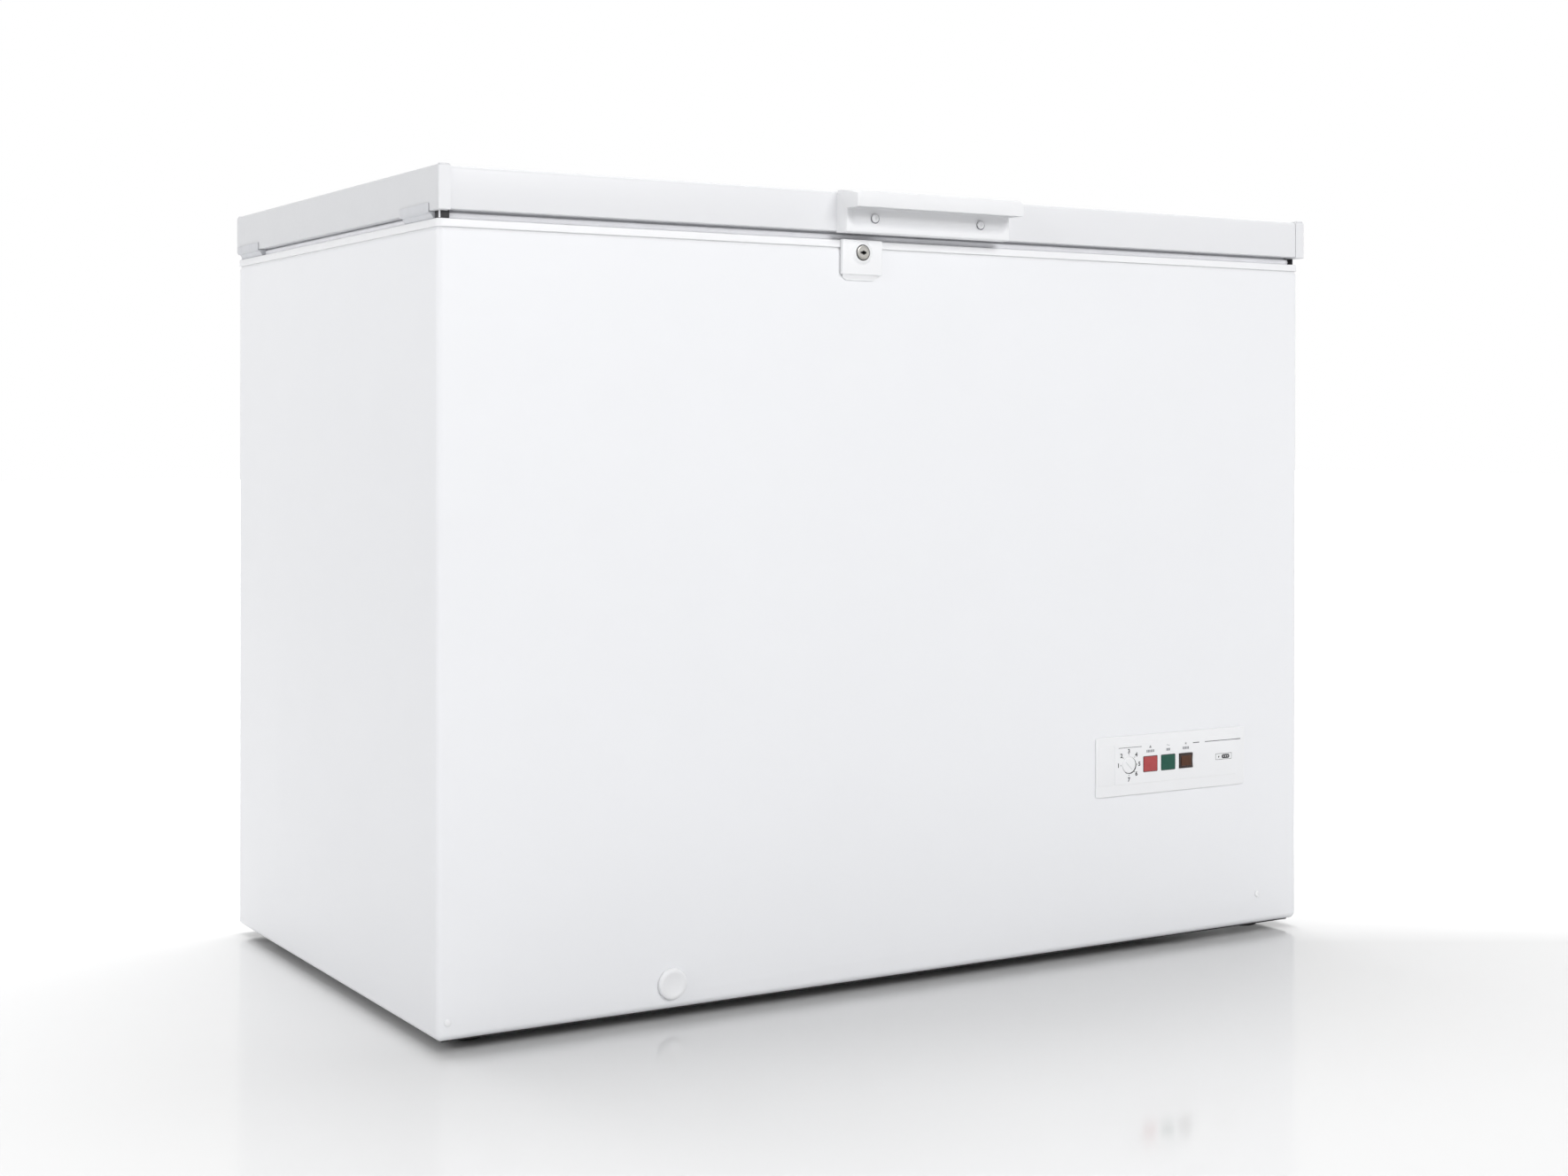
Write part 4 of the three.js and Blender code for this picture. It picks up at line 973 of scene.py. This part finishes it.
def corner_shadow_pads():
    """Black blocks under the end trims at each corner, painted shadow for the dark recess there, on the
    left split by the gasket's mitre.
    """
    z0, z1 = COLLAR_HIGH.z + 0.5, TRIM_LOW.z + 1.5
    for corner, sx, sy in CORNERS:
        x, y = sx * SIDE, FRONT if sy < 0 else BACK

        def wedge(name, a, b, c, d):
            """A block from a to b in from the side and from c to d in from the front or back."""
            xs, ys = sorted((x - sx * a, x - sx * b)), sorted((y - sy * c, y - sy * d))
            return block(name, *xs, *ys, z0, z1, 0.3, 2)

        name = "corner_recess_" + corner
        if sx > 0:
            pad = wedge(name, 6.0, 6.9, 3, 12)
        else:
            pad = joined(name, wedge("along", 4.2, 14, 3, 12), wedge("across", 3, 12, 4.2, 14))
            post = wedge("gasket_mitre_" + corner, 2.6, 4.2, 2.6, 4.2)
            place(post, "lid", GASKET, "gasket_grey")
        place(pad, "lid", BLACK_PLASTIC_AND_SHADOW, "black_plastic")


def ahead(distance):
    """The y of a point that stands out from the lid's front."""
    return LID_LOW.y - distance


def handle():
    """Moulded grip: a base plate with a shallow scoop and a hood that stands out over it."""
    low, high = box_mm("lid_handle")
    lip = 16.6  # how far the base stands out
    base = handle_base(high.x, low.z, high.z, lip)
    hood = handle_hood(high.x - 1, high.z, lip, LID_LOW.y - low.y)
    whole = joined("grip_moulding", base, hood)
    place(whole, "lid", GRIP_SHADED_PLASTIC, "trim_white", "lid_handle")
    screws()


def handle_base(half, bottom, top, lip):
    """The base as a grid of points over its front, deeper in the scoop."""
    height = top - 5 - bottom
    wall, low_edge, corner, slope, depth, soft = 4.5, 4.5, 14.0, 10.0, 4.4, 1.8
    steps = (0, 0.15, 0.4, 0.8, 1.3, 1.9, 2.6, 3.5, 4.5, 5.5, 6.7, 8, 9.5, 11, 13, 16, 22, 40, 75)
    columns = sorted({s * (half - step) for s in (-1, 1) for step in steps} | {0.0})
    rows = [0, 0.4, 1.0, 1.8, 3, 4.5, 5.5, 6.7, 8, 9.3, 10.6, 12, 13.5, 15, 18, 22, 26, height]

    def forward(x, dz):
        t = min((half - abs(x)) / wall, 1.0)
        f = lip * (1 - (1 - t) ** 2.5)
        if dz < soft:
            f -= min(soft - sqrt(max(soft ** 2 - (soft - dz) ** 2, 0.0)), f)
        dx, up = half - wall - abs(x), dz - low_edge
        inside = min(dx, up)
        if dx < corner and up < corner:
            inside = corner - hypot(corner - dx, corner - up)
        ease = max(0.0, min(inside / slope, 1.0))
        return max(f - depth * ease * ease * (3 - 2 * ease), 0.0)

    front = [(x, ahead(forward(x, dz)), bottom + dz) for x in columns for dz in rows]
    back = [(x, ahead(-0.5), z) for x, _, z in front]
    count, last, total = len(rows), (len(columns) - 1) * len(rows), len(front)
    faces = [(a, a + 1, a + count + 1, a + count)
             for start in range(0, last, count) for a in range(start, start + count - 1)]
    rim = [*range(count), *range(2 * count - 1, last + count, count),
           *range(last + count - 2, last - 1, -1), *range(last - count, 0, -count)]
    faces += [(a, b, b + total, a + total) for a, b in zip(rim, rim[1:] + rim[:1])]
    faces.append(tuple(k + total for k in reversed(rim)))
    return mesh_object("base", front + back, faces, 50)


def handle_hood(half, top, lip, reach):
    """The hood: a sloping top, an upright front and a hollow underside."""
    under = top - 20.9

    def section(drop, back):
        return [
            (0.4, top - 7.5), (6, top - 11.5), (lip - 3, under + 2.2), (lip + 0.5, under + 0.3),
            (lip + 3.4, under), (reach - 1.6, under), (reach - 0.6, under + 0.4),
            (reach - 0.15, under + 1.2), (reach - back, top - 5.9 - drop),
            (reach - 0.5 - back, top - 4.2 - drop), (reach - 1.6 - back, top - 3.2 - drop),
            (reach - 3.5 - back, top - 2.6 - drop), (reach - 22, top - 0.8 - drop * 0.3),
            (8, top - 0.1), (0.4, top),
        ]

    ends = [(half, 3.0, 0.6), (half - 0.4, 2.7, 0.2), (half - 1.6, 2.0, 0), (half - 3.2, 1.0, 0),
            (half - 5.2, 0.15, 0), (half - 7.5, 0, 0)]
    stations = ends + [(x, 0, 0) for x in (80, 40, 0, -40, -80)]
    stations += [(-x, drop, back) for x, drop, back in reversed(ends)]
    loops = [[(x, ahead(f), z) for f, z in section(drop, back)] for x, drop, back in stations]
    hood = lofted("hood", loops, 38)
    hollow = block("cut_hood", -half + 5, half - 5, ahead(reach - 3.4), ahead(lip + 4.5), under - 5,
                   top - 6.6, 2.0)
    return carve(hood, hollow)


def screws():
    """The grip's two cross-head caps, each over a grey disc set low and to the right as a painted
    shadow.
    """
    arm, slit = 2.2, 0.35
    for side, _ in SIDES:
        node = "handle_screw_" + side
        front = box_mm(node)[0].y
        x, _, z = middle(node)
        head = lathe(
            "screw_" + side,
            [(0, 20), (2.2, 20), (2.2, 2.9), (4.5, 2.9), (4.6, 2.5), (4.6, 1.0), (4.1, 0.35),
             (3.3, 0.05), (0, 0)],
            (x, front, z), sides=40, crease=45,
        )
        carve(head, *[
            block("cut_cross", x - wide, x + wide, front - 1, front + 0.6, z - tall, z + tall)
            for wide, tall in ((arm, slit), (slit, arm))
        ])
        place(head, "lid", SCREW_CAP, "black_plastic", node)
        # The grey disc behind each cap is a painted shadow, offset low and to the right.
        turned(
            ("lid", GREY_PRINT_AND_SHADOW, "trim_white"), "screw_seat_" + side,
            [(2.4, 3.0), (5.3, 3.0), (5.3, 1.9), (4.9, 1.7), (2.4, 1.7), (2.4, 3.0)],
            (x + 0.5, front, z - 0.5), sides=40, crease=45,
        )


# ---- hinges and rear
def hinges():
    for side, sign in SIDES:
        for part, body, width in (("bracket", "cabinet", 0.5), ("arm", "lid", 0.5),
                                  ("pin", "cabinet", 0.6)):
            refined("hinge_%s_%s" % (part, side), body, ZINC, "zinc", width, 3)
        spring(side, sign)


def spring(side, sign):
    """Coil round the hinge's pin, with one end bent up."""
    low, high = box_mm("hinge_spring_" + side)
    _, y, z = middle("hinge_pin_" + side)
    wire, mean, turns, pitch, steps = 1.25, 8.6, 4, 2.8, 24
    start = (high.x if sign < 0 else low.x) + sign * wire
    points = []
    for i in range(turns * steps + 1):
        angle = 2 * pi * i / steps
        points.append((start + sign * pitch * i / steps, y + mean * cos(angle), z + mean * sin(angle)))
    end = points[-1][0]
    points += [(end + sign * 0.4, y + mean - 0.9, z + 4), (end + sign * 0.6, y + mean - 4.4, z + 12.4)]
    coil = together("spring_coil_" + side, [tube(points, wire, 10)])
    place(coil, "cabinet", SPRING, "spring_steel", "hinge_spring_" + side)


def rear():
    for node, width in (("back_panel", 0), ("base_plate", 0), ("compressor_grille", 0.4)):
        refined(node, "cabinet", GALVANISED, "galvanised", width)
    refined("thermostat_body", *BLACK_AND_SHADOW, 1.0, 3)
    profile = [
        (4.2, -8), (8.6, -8), (8.6, 1.9), (12.6, 1.9), (13, 2.4), (13, 4.4), (12.4, 5.1), (9.6, 6.3),
        (9.0, 7.6), (7.8, 7.9), (8.6, 9.2), (7.4, 9.6), (8.0, 11), (6.9, 11.5), (7.4, 12.8), (6.4, 14),
        (4.2, 14), (4.2, -8),
    ]
    turned((*BLACK_AND_SHADOW, "cable_gland"), "gland_sleeve", profile, middle("cable_gland", y=BACK))


def compressor_unit():
    x, y, base = middle("compressor", z=box_mm("compressor")[0].z)
    turned(
        ("cabinet", ENAMEL, "black_enamel", "compressor"), "compressor_shell",
        [(0, 3), (60, 3), (66, 4), (72, 8), (76, 15), (79, 28), (80, 40), (80, 62), (81.5, 63),
         (82, 65), (82, 69), (81.5, 71), (80, 72), (79.6, 84), (78, 98), (74, 112), (66, 126),
         (54, 137), (38, 145), (20, 150), (0, 151.5)],
        (x, y, base), axis="z", sides=72, crease=30,
    )
    outline = rounded(x - 104, x + 104, y - 66, y + 66, 14)
    sole = lofted("compressor_sole", [[(px, py, z) for px, py in outline] for z in (base, base + 3.2)])
    bevelled(sole, 0.8, 2)
    place(sole, "cabinet", ENAMEL, "black_enamel")
    refined("compressor_terminal_box", *BLACK_AND_SHADOW, 2.0, 3)
    for i in range(1, 5):
        node = "compressor_grommet_%d" % i
        turned(
            ("cabinet", RUBBER, "black_rubber", node), "rubber_mount_%d" % i,
            [(0, 12.8), (11.6, 12.8), (12, 13.4), (11.6, 15.8), (9.8, 17.6), (9.5, 19.5), (9.8, 21),
             (11.8, 22.4), (12, 24), (11.6, 25.7), (0, 25.7)],
            middle(node, z=0), axis="z", sides=32, crease=50,
        )
    turned(
        ("cabinet", COPPER, "copper", "filter_drier"), "drier_body",
        [(0, 100), (3.2, 100), (3.2, 109), (4, 111), (7.6, 116), (9, 121), (9, 184), (7.6, 189),
         (4, 195), (3.2, 197), (3.2, 203), (0, 203)],
        middle("filter_drier", z=0), axis="z", sides=32,
    )


def kept_nodes():
    """CAD nodes that stay as they are, inside the walls, with their own finish."""
    for node in ("cabinet_insulation", "lid_insulation", "condenser_tube", "evaporator_tube",
                 "discharge_pipe", "suction_pipe"):
        materials = frame["nodes"][node].data.materials
        materials.clear()
        materials.append(FOAM if node.endswith("insulation") else COPPER)


# ---- basket
def basket():
    """Welded wire basket hung on the collar's ledge."""
    low, high = box_mm("storage_basket")
    x0, x1 = low.x + 6, high.x - 6
    y0, y1 = low.y + 20, high.y - 20
    bottom, rim = low.z, high.z
    wire, thick, taper = 1.5, 2.3, 4
    parts = []
    for z, inset, radius in ((rim - thick, thick, thick), (rim - 46, wire + 0.6, wire),
                             (bottom + 60, wire + 2.4, wire)):
        outline = rounded(x0 + inset, x1 - inset, y0 + inset, y1 - inset, 22, 8)
        parts.append(tube([(x, y, z) for x, y in outline], radius, 8, closed=True))

    def hoop(near, far, level, spot):
        """A wire down one wall, over the bottom and up the other wall."""
        side = [(near + wire, rim - thick), (near + wire + taper, level),
                (far - wire - taper, level), (far - wire, rim - thick)]
        parts.append(tube(bend([spot(along, z) for along, z in side], 14), wire, 6))

    for i in range(1, 20):
        y = y0 + (y1 - y0) * i / 20
        hoop(x0, x1, bottom + wire, lambda x, z: (x, y, z))
    for i in range(1, 12):
        x = x0 + (x1 - x0) * i / 12
        hoop(y0, y1, bottom + 3 * wire, lambda y, z: (x, y, z))
    for y_in, y_out in ((y0 + 2, low.y + thick), (y1 - 2, high.y - thick)):
        for x in (x0 + 40, x1 - 100):
            hook = [(x, y_in, rim - thick), (x, y_out, rim - thick - 0.1),
                    (x + 60, y_out, rim - thick - 0.1), (x + 60, y_in, rim - thick)]
            parts.append(tube(bend(hook, 7), thick - 0.3, 8))
    place(together("basket_wires", parts, 60), "basket", WIRE, "basket_wire", "storage_basket")
    profile = [(0, -34), (4.4, -34), (5, -33), (5, -12), (4.4, -10), (5, -8), (5, 8), (4.4, 10),
               (5, 12), (5, 33), (4.4, 34), (0, 34)]
    for name, y in (("front", y0 + thick), ("rear", y1 - thick)):
        turned(("basket", PLASTIC, "trim_white"), "basket_grip_" + name, profile,
               ((x0 + x1) / 2, y, rim - 5.2), axis="x", sides=24)


# ---- stage
AMBIENT = 0.31  # strength of the white room on matt surfaces
SOFTBOXES = (
    # name, what it lights, place, aim, width, height, watts
    ("front", "product", (0.6, -5.2, 2.9), (0.1, 0, 0.5), 3.2, 2.2, 163),
    ("left", "all", (-5.2, -1.5, 2.2), (-0.4, -0.1, 0.5), 3.0, 2.2, 60),
    ("left_rear", "all", (-4.6, 2.2, 2.2), (-0.5, 0.1, 0.5), 2.4, 2.0, 38),
    ("right_rear", "product", (4.8, 2.6, 2.2), (0.5, 0.1, 0.5), 2.4, 2.0, 34),
    ("overhead", "all", (0.5, 1.3, 5.8), (0, 0.3, 0), 5.5, 4.0, 150),
    ("floor_wash", "floor", (0.7, 2.1, 5.8), (0.1, 0.3, 0), 5.5, 4.0, 205),
)


def stage():
    """A glossy white floor that fades into the white room behind the freezer."""
    span = 30000
    corners = [(x, y, 0) for x, y in rectangle(-span, span, -span, span)]
    floor = mesh_object("floor", corners, [(0, 1, 2, 3)])
    g = Graph("floor_gloss")
    away = (0.516, 0.857, 0)  # the camera's direction over the floor
    sweep = g.node("VectorMath", {0: g.coords, 1: away}, "Value", operation="DOT_PRODUCT")
    depth = g.add(sweep, g.noise(2), 0.02)
    seen = g.node("LightPath", {}, "Is Camera Ray")
    glow = g.node("Math", {0: g.span(depth, 0, 1, -0.05, 0.75), 1: seen}, "Value",
                  operation="MULTIPLY")
    floor.data.materials.append(g.finish({
        # The base colour is painted a little darker towards the freezer, painted shade near its foot.
        "Base Color": g.blend(g.span(depth, 0, 1, -0.95, -0.35), (0.875,) * 3, (0.865,) * 3),
        "Emission Color": (1, 1, 1, 1),
        "Emission Strength": glow,
        "Roughness": g.span(g.noise(30), 0.08, 0.11),
        "IOR": 1.8,
    }))


def room():
    """A white room: full strength where it is seen or mirrored, softer on matt surfaces."""
    world = bpy.data.worlds.new("studio")
    bpy.context.scene.world = world
    g = Graph("studio", world, "Background")
    rays = [g.node("LightPath", {}, "Is %s Ray" % kind) for kind in ("Camera", "Glossy")]
    seen = g.node("Math", {0: rays[0], 1: rays[1]}, "Value", operation="MAXIMUM")
    g.finish({"Color": (1, 1, 1, 1), "Strength": g.span(seen, AMBIENT, 1.0, 0, 1)})


def lights():
    """Softboxes that the camera doesn't see, some of them only for the product or the floor."""
    groups = {"product": bpy.data.collections.new("product"),
              "floor": bpy.data.collections.new("ground")}
    for obj in bpy.data.objects:
        if obj.type == "MESH":
            groups["floor" if obj.name == "floor" else "product"].objects.link(obj)
    for name, lit, where, aim, width, height, watts in SOFTBOXES:
        data = assign(bpy.data.lights.new(name, "AREA"), shape="RECTANGLE", size=width,
                      size_y=height, energy=watts)
        turn = (Vector(aim) - Vector(where)).to_track_quat("-Z", "Y").to_euler()
        lamp = assign(linked(name, data), location=where, rotation_euler=turn, visible_camera=False)
        if lit in groups:
            lamp.light_linking.receiver_collection = groups[lit]


def camera():
    data = assign(bpy.data.cameras.new("view"), sensor_width=36, lens=51.76, shift_y=-0.0927,
                  clip_end=100)
    obj = assign(linked("view", data), location=(-1.4634, -2.446, 0.6236))
    turn, tilt, roll = [Matrix.Rotation(radians(angle), 4, axis) for angle, axis in
                        ((-31.06, "Z"), (90 - 0.12, "X"), (0.09, "Z"))]
    obj.rotation_euler = (turn @ tilt @ roll).to_euler()
    bpy.context.scene.camera = obj
    bpy.context.scene.view_settings.view_transform = "Standard"


def build():
    for step in (cabinet_shell, collar, liner, drain, rivets, feet, control_panel, lock, lid_skin):
        step()
    for side, sign in SIDES:
        lid_trim(side, sign)
    for step in (lid_lining, gasket, lid_spacers, corner_shadow_pads, handle, hinges, rear, compressor_unit,
                 kept_nodes, basket, stage, room, lights, camera):
        step()


build()
